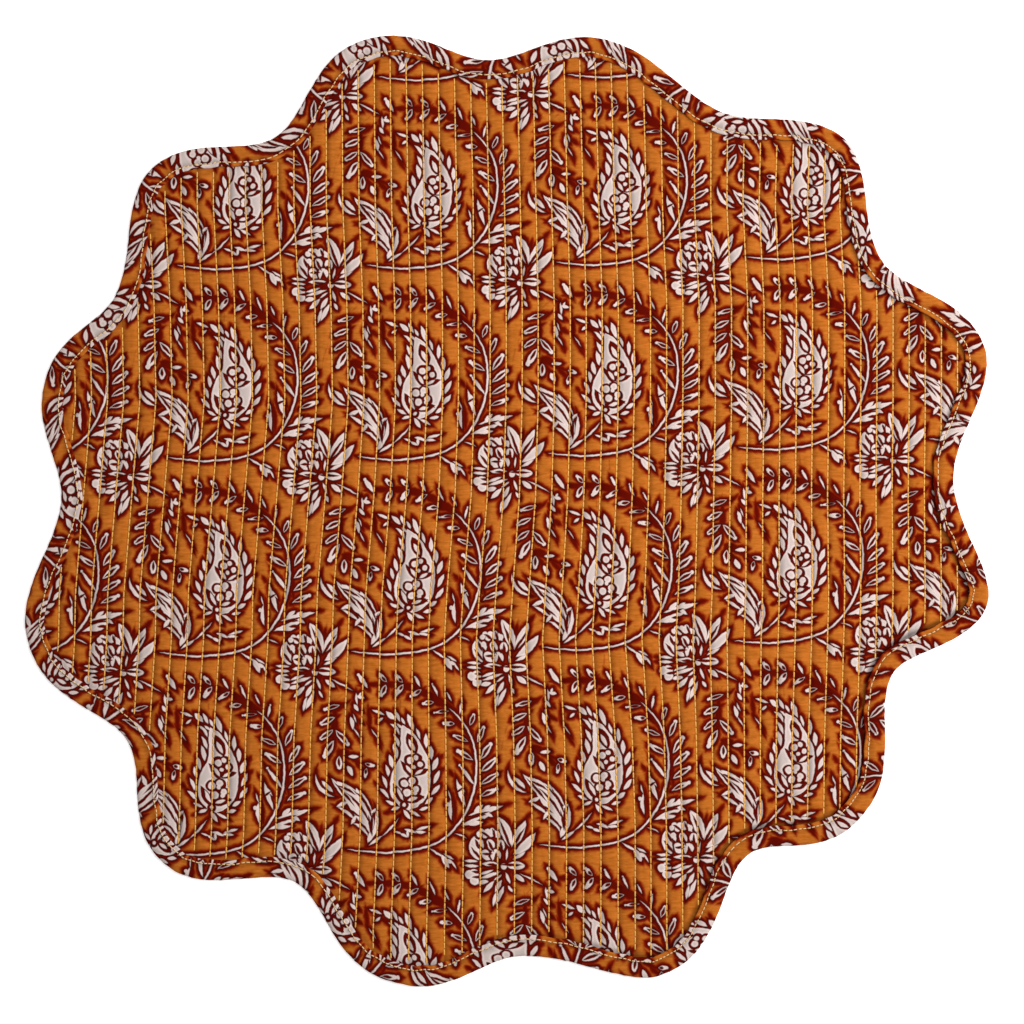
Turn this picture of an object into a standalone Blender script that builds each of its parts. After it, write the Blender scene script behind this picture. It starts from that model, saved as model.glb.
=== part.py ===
"""A round quilted table mat with a wavy edge of twelve lobes, lying flat.

It is sewn from two pieces: the quilted body, and the strip of cloth that is
folded over its cut edge. Metres, +Z up. The origin is on the underside, at the
middle of the mat, so the mat rests on the plane z = 0.
"""

from collections import namedtuple
import math

import bpy
import numpy as np
from mathutils.geometry import delaunay_2d_cdt

MM = 0.001

# The wavy outline, about the middle of the mat. Valleys and tips take turns
# round it. Above 1, fullness keeps a lobe broad and its valley narrow on the
# way to the next row.
Scallop = namedtuple("Scallop", "angle_deg reach_mm fullness")
SCALLOPS = (
    Scallop(3, 177.1, 0.9),
    Scallop(18, 199.0, 1.1),
    Scallop(33, 177.1, 0.9),
    Scallop(47, 196.8, 1.0),
    Scallop(62, 176.7, 1.0),
    Scallop(78, 187.7, 1.1),
    Scallop(92, 175.5, 1.2),
    Scallop(107, 191.5, 1.1),
    Scallop(122, 171.0, 1.1),
    Scallop(137, 192.3, 0.9),
    Scallop(152, 174.5, 1.2),
    Scallop(165, 187.9, 1.1),
    Scallop(179, 175.1, 1.0),
    Scallop(196, 195.8, 1.2),
    Scallop(212, 175.7, 1.1),
    Scallop(226, 195.2, 1.1),
    Scallop(241, 170.4, 1.3),
    Scallop(258, 193.4, 1.1),
    Scallop(272, 178.1, 0.8),
    Scallop(288, 195.4, 1.2),
    Scallop(305, 168.0, 1.3),
    Scallop(319, 186.7, 1.1),
    Scallop(336, 166.6, 1.1),
    Scallop(349, 194.2, 0.8),
)
OUTLINE_STATIONS = 252
MERGE_DISTANCE = 1e-7
SAMPLES_PER_DEGREE = 8

# The rows of quilting run up the mat, a quarter of an inch apart.
ROW_PITCH = 6.35 * MM
MIDDLE_ROW_X = -13.0 * MM
ROWS_LEFT = 28
ROWS_RIGHT = 32
ROW_STEP = 24.0 * MM
ROW_SAMPLE = 1.0 * MM

# How far the cloth has crept sideways while it was quilted, in millimetres to
# the right, at four places across the mat and at ten heights up it.
LEAN_PLACES_MM = (-80.0, -13.0, 50.0, 115.0)
LEAN_ROUNDS = 6
Lean = namedtuple("Lean", "height_mm left mid_left mid_right right")
LEANS = (
    Lean(-165.0, -10.6, -4.3, 0.0, -1.2),
    Lean(-126.0, -8.3, -3.9, 0.0, -2.0),
    Lean(-89.0, -7.5, -4.3, -1.2, -1.6),
    Lean(-51.0, -5.1, -5.5, -3.9, -0.4),
    Lean(-32.0, -4.7, -4.3, -2.8, 0.0),
    Lean(6.0, -1.6, -1.2, -1.2, -0.4),
    Lean(44.0, 1.6, 0.0, -0.4, 0.0),
    Lean(82.0, 0.8, 0.0, -0.4, 0.0),
    Lean(120.0, -1.2, -0.4, -2.0, -2.0),
    Lean(176.0, -1.2, -1.6, -3.5, 0.0),
)

# Thickness of the quilted body, through a channel and at a row of stitches.
CHANNEL_TOP = 2.4 * MM
STITCHED_TOP = 1.6 * MM

# The body's edge, pressed thin between the two legs of the folded strip.
EDGE_INSET = 0.9 * MM
EDGE_BOTTOM = 0.8 * MM
EDGE_TOP = 1.8 * MM
HOLD_INSET = 9.3 * MM
LOOSE_INSET = 11.6 * MM
ROW_END_INSET = 11.0 * MM

# The folded strip: its section as inset from the outline and height, walked
# anticlockwise. The top leg is stitched down a little way from its inner fold.
STRIP_WIDTH = 8.3 * MM
STRIP_WIDTH_WAVE = 0.35 * MM
STRIP_WAVES = 7
TOPSTITCH_SETBACK_MM = 1.9
Fold = namedtuple("Fold", "name from_outline_mm from_inner_fold_mm height_mm")
STRIP_SECTION = (
    Fold("inner end of the under leg", None, 0.0, 0.0),
    Fold("underside near the fold", 0.9, None, 0.0),
    Fold("lower turn of the fold", 0.0, None, 0.8),
    Fold("upper turn of the fold", 0.0, None, 1.9),
    Fold("shoulder of the top leg", 0.9, None, 2.7),
    Fold("crown of the top leg", 3.4, None, 3.05),
    Fold("groove under the topstitching", None, TOPSTITCH_SETBACK_MM, 2.6),
    Fold("raised lip of the inner fold", None, 0.4, 2.85),
    Fold("inner end of the top leg", None, 0.0, 2.1),
    Fold("roof inside the fold", 0.6, None, 2.1),
    Fold("floor inside the fold", 0.6, None, 0.5),
    Fold("top of the under leg", None, 0.0, 0.5),
)

OCHRE = (0.520, 0.170, 0.022, 1.0)
DEEP_OCHRE = (0.420, 0.120, 0.016, 1.0)
COTTON_ROUGHNESS = 0.9
SMOOTH_ANGLE = math.radians(50)


def clear_scene():
    for obj in list(bpy.data.objects):
        bpy.data.objects.remove(obj, do_unlink=True)


def cotton(name, colour):
    """Matt woven cotton: no metal in it, and a broad dull highlight."""
    material = bpy.data.materials.new(name)
    material.use_nodes = True
    shader = material.node_tree.nodes["Principled BSDF"]
    shader.inputs["Base Color"].default_value = colour
    shader.inputs["Roughness"].default_value = COTTON_ROUGHNESS
    shader.inputs["Metallic"].default_value = 0.0
    return material


def reach_at(angles):
    """Distance from the middle to the outline, eased by a half cosine from tip to valley."""
    reach = np.zeros_like(angles)
    for row, following in zip(SCALLOPS, SCALLOPS[1:] + SCALLOPS[:1]):
        span = (following.angle_deg - row.angle_deg) % 360
        part = ((angles - row.angle_deg) % 360) / span
        tip, valley = row, following
        from_tip = part
        if row.reach_mm < following.reach_mm:
            tip, valley = following, row
            from_tip = 1 - part
        inside = part < 1
        fall = 0.5 - 0.5 * np.cos(math.pi * from_tip[inside] ** row.fullness)
        reach[inside] = tip.reach_mm + (valley.reach_mm - tip.reach_mm) * fall
    return reach * MM


def outline():
    """Evenly spaced stations on the outline, and the outward direction at each."""
    angles = np.arange(0, 360, 1 / SAMPLES_PER_DEGREE)
    turn = np.radians(angles)
    fine = reach_at(angles)[:, None] * np.column_stack([np.cos(turn), np.sin(turn)])
    fine -= (fine.min(axis=0) + fine.max(axis=0)) / 2
    closed = np.vstack([fine, fine[:1]])
    lengths = np.hypot(*np.diff(closed, axis=0).T)
    along = np.concatenate([[0], np.cumsum(lengths)])
    stops = np.linspace(0, along[-1], OUTLINE_STATIONS, endpoint=False)
    points = np.column_stack([np.interp(stops, along, closed[:, k]) for k in (0, 1)])
    forward = np.roll(points, -1, axis=0) - np.roll(points, 1, axis=0)
    forward /= np.hypot(*forward.T)[:, None]
    return points, np.column_stack([forward[:, 1], -forward[:, 0]])


def lean_at(x, y):
    """Sideways creep of the quilting at (x, y), read between the rows of LEANS."""
    heights = np.array([row.height_mm for row in LEANS]) * MM
    places = np.array(LEAN_PLACES_MM) * MM
    shifts = np.array([row[1:] for row in LEANS]) * MM
    at_height = np.array([np.interp(y, heights, column) for column in shifts.T])
    place = np.clip(np.interp(x, places, np.arange(len(places))), 0, len(places) - 1)
    left = np.minimum(place.astype(int), len(places) - 2)
    share = place - left
    here = np.arange(len(x))
    return at_height[left, here] * (1 - share) + at_height[left + 1, here] * share


def row_x(number, y):
    """Where quilting row `number` runs at heights y. Half numbers are channel middles."""
    x = np.full_like(y, MIDDLE_ROW_X + number * ROW_PITCH)
    for _ in range(LEAN_ROUNDS):
        x = MIDDLE_ROW_X + number * ROW_PITCH + lean_at(x, y)
    return x


def is_inside(x, y, ring):
    """True where a point lies inside the closed ring, by counting the sides it is left of."""
    x0, y0 = ring[:, 0:1], ring[:, 1:2]
    x1, y1 = np.roll(x0, -1), np.roll(y0, -1)
    spans = (y0 > y) != (y1 > y)
    rise = np.where(y1 == y0, 1.0, y1 - y0)
    crossing = x0 + (y - y0) * (x1 - x0) / rise
    return (spans & (x < crossing)).sum(axis=0) % 2 == 1


def row_runs(number, limit):
    """The stretches of one quilting row that lie inside the ring `limit`, as point arrays."""
    y = np.arange(limit[:, 1].min(), limit[:, 1].max(), ROW_SAMPLE)
    x = row_x(number, y)
    inside = is_inside(x, y, limit)
    starts = np.flatnonzero(inside & ~np.roll(inside, 1))
    ends = np.flatnonzero(inside & ~np.roll(inside, -1))
    for start, end in zip(starts, ends):
        if y[end] - y[start] < ROW_PITCH:
            continue
        steps = max(1, round((y[end] - y[start]) / ROW_STEP))
        heights = np.linspace(y[start], y[end], steps + 1)
        yield np.column_stack([row_x(number, heights), heights])


def ring_edges(start, count):
    return [(start + i, start + (i + 1) % count) for i in range(count)]


def triangles_between(points, edges):
    """Triangles that fill the closed rings and keep every edge given."""
    found = delaunay_2d_cdt([tuple(p) for p in points], edges, [], 1, MERGE_DISTANCE)
    corners, _, faces, originals = found[:4]
    if len(corners) != len(points):
        raise ValueError("two of the rings or rows cross")
    index = [original[0] for original in originals]
    return [tuple(index[corner] for corner in face) for face in faces]


def quilted_panel(points, outward, material):
    """The body: puffed channels on top, flat underneath, thin at its cut edge."""
    cut_edge = points - outward * EDGE_INSET
    held = points - outward * HOLD_INSET
    loose = points - outward * LOOSE_INSET
    count = len(points)

    top = [cut_edge, held]
    heights = [np.full(count, EDGE_TOP), np.full(count, EDGE_TOP)]
    edges = ring_edges(0, count) + ring_edges(count, count)
    used = 2 * count
    row_limit = points - outward * ROW_END_INSET
    for half_step in range(-2 * ROWS_LEFT - 1, 2 * ROWS_RIGHT + 2):
        is_channel = half_step % 2 == 1
        for run in row_runs(half_step / 2, row_limit):
            top.append(run)
            heights.append(np.full(len(run), CHANNEL_TOP if is_channel else STITCHED_TOP))
            edges += [(used + i, used + i + 1) for i in range(len(run) - 1)]
            used += len(run)
    top = np.vstack(top)
    top_faces = triangles_between(top, edges)

    bottom = np.vstack([cut_edge, held, loose])
    bottom_edges = [e for k in range(3) for e in ring_edges(k * count, count)]
    bottom_faces = triangles_between(bottom, bottom_edges)
    bottom_z = np.repeat([EDGE_BOTTOM, EDGE_BOTTOM, 0.0], count)

    vertices = np.vstack([
        np.column_stack([top, np.concatenate(heights)]),
        np.column_stack([bottom, bottom_z]),
    ])
    under = len(top)
    faces = top_faces + [tuple(under + c for c in reversed(f)) for f in bottom_faces]
    for i in range(count):
        j = (i + 1) % count
        faces.append((under + i, under + j, j, i))
    return solid("quilted_panel", vertices, faces, material)


def edge_binding(points, outward, material):
    """The folded strip: one closed section carried round the outline."""
    count = len(points)
    around = np.arange(count) * 2 * math.pi / count
    width = STRIP_WIDTH + STRIP_WIDTH_WAVE * np.sin(STRIP_WAVES * around)
    loops = []
    for fold in STRIP_SECTION:
        if fold.from_outline_mm is None:
            inset = width - fold.from_inner_fold_mm * MM
        else:
            inset = np.full(count, fold.from_outline_mm * MM)
        height = np.full(count, fold.height_mm * MM)
        loops.append(np.column_stack([points - outward * inset[:, None], height]))
    vertices = np.vstack(loops)
    folds = len(STRIP_SECTION)
    faces = []
    for k in range(folds):
        for i in range(count):
            j = (i + 1) % count
            here, following = k * count, (k + 1) % folds * count
            faces.append((here + i, here + j, following + j, following + i))
    return solid("edge_binding", vertices, faces, material)


def solid(name, vertices, faces, material):
    mesh = bpy.data.meshes.new(name)
    mesh.from_pydata(vertices.tolist(), [], faces)
    mesh.materials.append(material)
    mesh.shade_smooth()
    mesh.set_sharp_from_angle(angle=SMOOTH_ANGLE)
    obj = bpy.data.objects.new(name, mesh)
    bpy.context.scene.collection.objects.link(obj)
    return obj


def main():
    clear_scene()
    mat = bpy.data.objects.new("table_mat", None)
    bpy.context.scene.collection.objects.link(mat)
    points, outward = outline()
    pieces = (
        quilted_panel(points, outward, cotton("Printed quilted cotton", OCHRE)),
        edge_binding(points, outward, cotton("Printed cotton strip", DEEP_OCHRE)),
    )
    for piece in pieces:
        piece.parent = mat


main()
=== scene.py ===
# %% [markdown]
# # A quilted placemat with a wavy edge
# The real mat is sewn from a few pieces of cotton: a printed top, a thin wadding
# and a plain backing, quilted together in close rows, and a folded strip of the
# same print that covers the cut edge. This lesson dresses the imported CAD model:
# the cloth, its stitches and, above all, the printed pattern.
#
# Everything below is in its metres, +Z up, with the mat lying on z = 0.

# %% The frame
import math
from collections import namedtuple

import bpy
import numpy as np
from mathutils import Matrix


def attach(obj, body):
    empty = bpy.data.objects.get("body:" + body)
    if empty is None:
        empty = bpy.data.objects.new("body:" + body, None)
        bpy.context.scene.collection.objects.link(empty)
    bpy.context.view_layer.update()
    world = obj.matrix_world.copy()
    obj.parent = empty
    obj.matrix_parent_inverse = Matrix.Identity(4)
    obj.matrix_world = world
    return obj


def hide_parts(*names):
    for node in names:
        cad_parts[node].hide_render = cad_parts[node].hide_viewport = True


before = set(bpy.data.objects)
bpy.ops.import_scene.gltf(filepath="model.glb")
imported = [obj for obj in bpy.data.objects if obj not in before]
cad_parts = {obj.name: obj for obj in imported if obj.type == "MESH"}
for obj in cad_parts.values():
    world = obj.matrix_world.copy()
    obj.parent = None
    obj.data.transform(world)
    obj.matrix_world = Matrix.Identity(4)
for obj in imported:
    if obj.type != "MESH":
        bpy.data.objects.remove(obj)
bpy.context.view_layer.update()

MM = 0.001

# %% [markdown]
# ## The camera
# The photo looks straight down from far away, so nothing in it converges. A long
# lens does that. The view's width on the table and the lens give the distance.
# The mat sits a hair off the middle of the frame, so the camera does too. Cloth
# is shown in its own colours, so no film curve is laid over them.

# %% Camera
VIEW_WIDTH = 403.9 * MM
VIEW_MIDDLE = (2.0 * MM, -0.4 * MM)
LENS_MM = 200.0
SENSOR_MM = 36.0
SIGHT_END = 20.0

camera = bpy.data.objects.new("overhead_camera", bpy.data.cameras.new("overhead_camera"))
camera.data.lens = LENS_MM
camera.data.sensor_width = SENSOR_MM
camera_height = VIEW_WIDTH * LENS_MM / SENSOR_MM
camera.location = (*VIEW_MIDDLE, camera_height)
camera.data.clip_end = SIGHT_END
bpy.context.scene.collection.objects.link(camera)
bpy.context.scene.camera = camera
bpy.context.scene.view_settings.view_transform = "Standard"
print(f"camera {camera_height:.2f} m above the table")

# %% [markdown]
# ## The outline
# The mat's edge runs in and out twelve times. A hand-cut edge is uneven, so each
# tip and valley has its own place: an angle, a reach from the middle, and how full
# the lobe stays on the way to the next row. A cosine eases from one to the next.

# %% Outline
Scallop = namedtuple("Scallop", "angle_deg reach_mm fullness")
SCALLOPS = (
    Scallop(3, 177.1, 0.9),
    Scallop(18, 199.0, 1.1),
    Scallop(33, 177.1, 0.9),
    Scallop(47, 196.8, 1.0),
    Scallop(62, 176.7, 1.0),
    Scallop(78, 187.7, 1.1),
    Scallop(92, 175.5, 1.2),
    Scallop(107, 191.5, 1.1),
    Scallop(122, 171.0, 1.1),
    Scallop(137, 192.3, 0.9),
    Scallop(152, 174.5, 1.2),
    Scallop(165, 187.9, 1.1),
    Scallop(179, 175.1, 1.0),
    Scallop(196, 195.8, 1.2),
    Scallop(212, 175.7, 1.1),
    Scallop(226, 195.2, 1.1),
    Scallop(241, 170.4, 1.3),
    Scallop(258, 193.4, 1.1),
    Scallop(272, 178.1, 0.8),
    Scallop(288, 195.4, 1.2),
    Scallop(305, 168.0, 1.3),
    Scallop(319, 186.7, 1.1),
    Scallop(336, 166.6, 1.1),
    Scallop(349, 194.2, 0.8),
)
OUTLINE_STATIONS = 1056
SAMPLES_PER_DEGREE = 8
NORMAL_REACH = 2
SPOTS_AT_ONCE = 4000


def reach_at(angles):
    """Distance to the outline: valley + (tip - valley) * (0.5 + 0.5 cos(pi * t^fullness))."""
    reach = np.zeros_like(angles)
    for row, following in zip(SCALLOPS, SCALLOPS[1:] + SCALLOPS[:1]):
        span = (following.angle_deg - row.angle_deg) % 360
        part = ((angles - row.angle_deg) % 360) / span
        tip, valley, from_tip = row, following, part
        if row.reach_mm < following.reach_mm:
            tip, valley, from_tip = following, row, 1 - part
        inside = part < 1
        rise = 0.5 + 0.5 * np.cos(math.pi * from_tip[inside] ** row.fullness)
        reach[inside] = valley.reach_mm + (tip.reach_mm - valley.reach_mm) * rise
    return reach * MM


def outline():
    """Stations evenly spaced along the edge, the way out at each, and the distance walked."""
    angles = np.arange(0, 360, 1 / SAMPLES_PER_DEGREE)
    turn = np.radians(angles)
    fine = reach_at(angles)[:, None] * np.column_stack([np.cos(turn), np.sin(turn)])
    fine -= (fine.min(axis=0) + fine.max(axis=0)) / 2
    closed = np.vstack([fine, fine[:1]])
    walked = np.concatenate([[0], np.cumsum(np.hypot(*np.diff(closed, axis=0).T))])
    stops = np.linspace(0, walked[-1], OUTLINE_STATIONS, endpoint=False)
    points = np.column_stack([np.interp(stops, walked, closed[:, k]) for k in (0, 1)])
    forward = np.roll(points, -NORMAL_REACH, axis=0) - np.roll(points, NORMAL_REACH, axis=0)
    forward /= np.hypot(*forward.T)[:, None]
    return points, np.column_stack([forward[:, 1], -forward[:, 0]]), stops, walked[-1]


def inset_of(x, y):
    """How far (x, y) lies inside the edge: distance to the nearest station, below 0 outside."""
    inset = np.empty(x.size)
    spots = np.column_stack([x.ravel(), y.ravel()])
    for start in range(0, len(spots), SPOTS_AT_ONCE):
        block = slice(start, start + SPOTS_AT_ONCE)
        apart = spots[block, None, :] - edge[None, :, :]
        squares = (apart ** 2).sum(axis=2)
        nearest = squares.argmin(axis=1)
        here = np.arange(len(nearest))
        side = (apart[here, nearest] * outward[nearest]).sum(axis=1)
        inset[block] = -np.sign(side) * np.sqrt(squares[here, nearest])
    return inset.reshape(x.shape)


edge, outward, edge_walk, edge_length = outline()
print(f"edge {edge_length:.3f} m long, {np.ptp(edge[:, 0]):.4f} x {np.ptp(edge[:, 1]):.4f} m")

# %% [markdown]
# ## The rows of quilting
# Sixty-one rows of straight stitching run up the mat, a quarter of an inch apart.
# Cloth creeps under the foot of the machine, so the rows lean: the table says how
# far, at four places across and ten heights up. Between them it is a straight
# blend both ways. A row is looked up by number, and half numbers are the middles
# of the channels between rows.

# %% Rows
ROW_PITCH = 6.35 * MM
MIDDLE_ROW_X = -13.0 * MM
ROWS_LEFT = 28
ROWS_RIGHT = 32
LEAN_PLACES_MM = (-80.0, -13.0, 50.0, 115.0)
LEAN_ROUNDS = 6
Lean = namedtuple("Lean", "height_mm left mid_left mid_right right")
LEANS = (
    Lean(-165.0, -10.6, -4.3, 0.0, -1.2),
    Lean(-126.0, -8.3, -3.9, 0.0, -2.0),
    Lean(-89.0, -7.5, -4.3, -1.2, -1.6),
    Lean(-51.0, -5.1, -5.5, -3.9, -0.4),
    Lean(-32.0, -4.7, -4.3, -2.8, 0.0),
    Lean(6.0, -1.6, -1.2, -1.2, -0.4),
    Lean(44.0, 1.6, 0.0, -0.4, 0.0),
    Lean(82.0, 0.8, 0.0, -0.4, 0.0),
    Lean(120.0, -1.2, -0.4, -2.0, -2.0),
    Lean(176.0, -1.2, -1.6, -3.5, 0.0),
)


def lean_at(x, y):
    """Sideways creep at (x, y): blended between heights, then between places across."""
    heights = np.array([row.height_mm for row in LEANS]) * MM
    shifts = np.array([row[1:] for row in LEANS]) * MM
    places = np.array(LEAN_PLACES_MM) * MM
    at_height = np.array([np.interp(y, heights, column) for column in shifts.T])
    place = np.interp(x, places, np.arange(len(places)))
    left = np.minimum(place.astype(int), len(places) - 2)
    share = place - left
    here = np.take_along_axis(at_height, left[None], axis=0)[0]
    beside = np.take_along_axis(at_height, left[None] + 1, axis=0)[0]
    return here * (1 - share) + beside * share


def row_x(number, y):
    """Where row `number` runs at height y: its straight place plus the creep there."""
    straight = MIDDLE_ROW_X + number * ROW_PITCH
    x = straight + np.zeros_like(y)
    for _ in range(LEAN_ROUNDS):
        x = straight + lean_at(x, y)
    return x


outer_rows = row_x(np.array([-ROWS_LEFT, ROWS_RIGHT]), np.zeros(2)) / MM
print(f"{ROWS_LEFT + 1 + ROWS_RIGHT} rows, from x = {outer_rows[0]:.0f} to {outer_rows[1]:.0f} mm")

# %% [markdown]
# ## One function that makes a mesh
# Every piece below is worked out as whole arrays, then handed to Blender in one
# go. The mesh keeps its place in its own points, so the object stays at the
# origin, and patterns on object coordinates stay put.

# %% Mesh maker
def make_mesh(name, points, faces, materials, face_material=None, maps=None):
    """A smooth mesh of four-cornered faces, with UV maps given for each point."""
    mesh = bpy.data.meshes.new(name)
    mesh.vertices.add(len(points))
    mesh.vertices.foreach_set("co", np.asarray(points, np.float32).ravel())
    mesh.loops.add(faces.size)
    mesh.loops.foreach_set("vertex_index", faces.ravel().astype(np.int32))
    mesh.polygons.add(len(faces))
    mesh.polygons.foreach_set("loop_start", np.arange(0, faces.size, 4, dtype=np.int32))
    for material in materials:
        mesh.materials.append(material)
    if face_material is not None:
        mesh.polygons.foreach_set("material_index", face_material.astype(np.int32))
    for map_name, values in (maps or {}).items():
        layer = mesh.uv_layers.new(name=map_name)
        layer.data.foreach_set("uv", values[faces.ravel()].astype(np.float32).ravel())
    mesh.update(calc_edges=True)
    mesh.validate()
    mesh.shade_smooth()
    piece = bpy.data.objects.new(name, mesh)
    bpy.context.scene.collection.objects.link(piece)
    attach(piece, "root")
    print(f"{name}: {len(points)} points, {2 * len(faces)} triangles")
    return piece


print("meshes that came with the CAD frame:", len(bpy.data.meshes))

# %% [markdown]
# ## Colours and nodes
# Colours are read off the real cloth as hex values and turned into the linear
# light that shaders work in. One small function adds a node, sets it and wires it.

# %% Colour and node helpers
def linear(hex_colour):
    """sRGB hex to linear: (c + 0.055)/1.055 to the power 2.4, or c/12.92 near black."""
    channels = np.array([int(hex_colour[k:k + 2], 16) for k in (0, 2, 4)]) / 255
    low, high = channels / 12.92, ((channels + 0.055) / 1.055) ** 2.4
    return (*np.where(channels < 0.04045, low, high).tolist(), 1.0)


def add(tree, kind, inputs=(), out=0, **settings):
    """Adds a node. inputs are values or sockets, in order or by name; returns an output."""
    node = tree.nodes.new("ShaderNode" + kind)
    for name, value in settings.items():
        setattr(node, name, value)
    named = inputs.items() if isinstance(inputs, dict) else enumerate(inputs)
    for key, value in named:
        if isinstance(value, bpy.types.NodeSocket):
            tree.links.new(value, node.inputs[key])
        elif value is not None:
            node.inputs[key].default_value = value
    return node.outputs[out] if node.outputs else node


def new_material(name):
    """A node material that starts out empty."""
    material = bpy.data.materials.new(name)
    material.use_nodes = True
    material.node_tree.nodes.clear()
    return material, material.node_tree


print("mid grey 808080 in linear light:", round(linear("808080")[0], 3))

# %% [markdown]
# ## The print, 1: leaves, dots and drops
# The cotton is block printed with an old floral repeat: a lotus, a paisley in a
# curling vine, and serrated leaves. The printer keeps some cloth bare with a
# paste, prints maroon round it, and dyes the rest ochre.
#
# A picture could be wrapped over the mat, but then it would only ever be as sharp
# as its pixels. Here the print is charted in millimetres and drawn by the
# shader from three shapes, so it is sharp at any distance. A dot is a disc. A leaf
# is the lens where two circles cross, with a point at both ends. A bend makes one
# side rounder and the other flatter, and a blunt leaf has its points rounded. A
# drop is a blunt leaf with a maroon line cut into it from its root, so it looks
# like a small fork, and with a maroon shade behind it towards the stalk.

# %% Leaves, dots and drops
Leaf = namedtuple("Leaf", "root tip half_width bend blunt", defaults=(0.0, 0.0))
Dot = namedtuple("Dot", "centre radius")
Drop = namedtuple("Drop", "root tip half_width split shade", defaults=(0.6, 0.8))

DROP_TAIL = 0.3
DROP_ROUND = 0.75
DROP_POINT_MM = 0.2
CUT_TAIL = 0.1
CUT_HALF_WIDTH = 0.42
SHADE_WIDTH = 0.95


def drops_as_leaves(drops):
    """A drop, way = tip - root: a lens from root - 0.3 way to the tip, and a dot near the tip."""
    white, cut, dark = [], [], []
    for drop in drops:
        root, tip = np.array(drop.root), np.array(drop.tip)
        way = tip - root
        rounding = DROP_ROUND * drop.half_width
        white.append(Leaf(root - DROP_TAIL * way, tip, drop.half_width))
        white.append(Dot(tip - way / np.hypot(*way) * (rounding + DROP_POINT_MM), rounding))
        dark.append(Leaf(root - drop.shade * way, tip, SHADE_WIDTH * drop.half_width))
        if drop.split:
            cut.append(Leaf(root - CUT_TAIL * way, root + drop.split * way, CUT_HALF_WIDTH))
    return white, cut, dark


one_drop = drops_as_leaves([Drop((0.0, 0.0), (0.0, 5.0), 1.0)])
print("white, cut and dark shapes in one drop:", [len(shapes) for shapes in one_drop])

# %% [markdown]
# ## The print, 2: the lotus
# The charts are in millimetres from the heart of a lotus. `white` is bare cotton,
# `cut` is a maroon line drawn over the white, and `dark` is maroon with no white
# in it. The lotus leans to the left: rounded petals inside a scalloped crown,
# long petals fanned out to the upper right, and narrow ones below.

# %% Lotus chart
LOTUS_WHITE = [
    Dot((-0.1, 0.4), 1.4),
    Leaf((0.6, 0.9), (8.8, 0.7), 1.8, 0.0, 1.5),
    Leaf((3.2, 3.3), (8.9, 6.5), 0.85, -0.2),
    Leaf((3.4, 5.0), (13.0, 14.1), 1.9, -0.9),
    Leaf((2.9, 7.6), (9.0, 18.9), 1.85, -0.3),
    Leaf((2.8, 7.4), (-2.4, 20.4), 2.3, -0.8, 1.5),
    Leaf((0.9, 2.6), (1.5, 7.8), 0.6),
    Dot((-5.4, 9.8), 1.55),
    Leaf((-4.6, 6.4), (-6.4, 11.0), 1.1),
    Leaf((-3.8, 7.4), (-4.6, 11.0), 0.8),
    Dot((-1.1, 9.5), 1.6),
    Leaf((-2.2, 7.6), (-2.2, 10.4), 0.7),
    Leaf((0.0, 6.8), (-0.2, 10.6), 0.8),
    Dot((-7.4, 5.6), 1.75),
    Leaf((-5.4, 3.0), (-9.0, 5.2), 1.1),
    Dot((-3.3, 5.7), 1.6),
    Leaf((-4.5, 2.6), (-4.4, 7.2), 0.95),
    Leaf((-1.6, 3.2), (-2.0, 7.0), 0.9),
    Dot((-9.6, 13.0), 1.3),
    Dot((-8.6, 14.1), 1.3),
    Dot((-7.4, 12.5), 1.2),
    Dot((-6.4, 13.9), 1.45),
    Dot((-4.9, 13.5), 1.6),
    Dot((-4.5, 14.6), 1.1),
    Dot((-2.4, 12.9), 1.35),
    Leaf((-1.4, 11.2), (-3.4, 14.8), 0.9),
    Leaf((-9.7, 2.6), (-11.6, 12.6), 2.2, 1.1, 0.6),
    Dot((-11.3, 9.8), 1.7),
    Dot((-9.2, 10.0), 1.3),
    Leaf((-8.2, 7.4), (-9.4, 11.4), 0.9),
    Leaf((-9.9, 2.3), (-16.4, 2.7), 0.75, 0.0, 0.5),
    Leaf((-9.7, 0.5), (-16.4, 0.8), 0.75, 0.0, 0.5),
    Leaf((-1.8, 1.6), (-9.5, 1.5), 1.05),
    Dot((-14.0, -2.7), 1.9),
    Dot((-12.2, -2.5), 2.1),
    Dot((-12.0, -5.0), 2.0),
    Leaf((-6.0, -5.2), (-10.9, -6.3), 1.05, 0.0, 0.8),
    Leaf((-4.0, -0.8), (-10.4, -3.0), 0.75),
    Leaf((-1.2, -1.5), (-10.4, -4.5), 0.85),
    Leaf((-0.9, -2.6), (-4.6, -5.2), 0.6),
    Leaf((-4.0, -5.0), (-8.9, -9.9), 1.1, 0.2),
    Leaf((-1.0, -4.5), (-4.1, -9.9), 1.05),
    Leaf((-0.1, -6.9), (-4.0, -14.7), 1.05),
    Leaf((-3.4, -9.2), (-4.9, -15.5), 0.85),
    Leaf((0.5, -1.6), (2.3, -6.6), 0.75),
    Leaf((1.3, -6.8), (3.1, -9.7), 0.75),
    Leaf((3.7, -2.3), (8.1, -5.6), 1.15),
    Leaf((5.4, -1.9), (15.8, -7.1), 0.5, 0.2),
]
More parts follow.
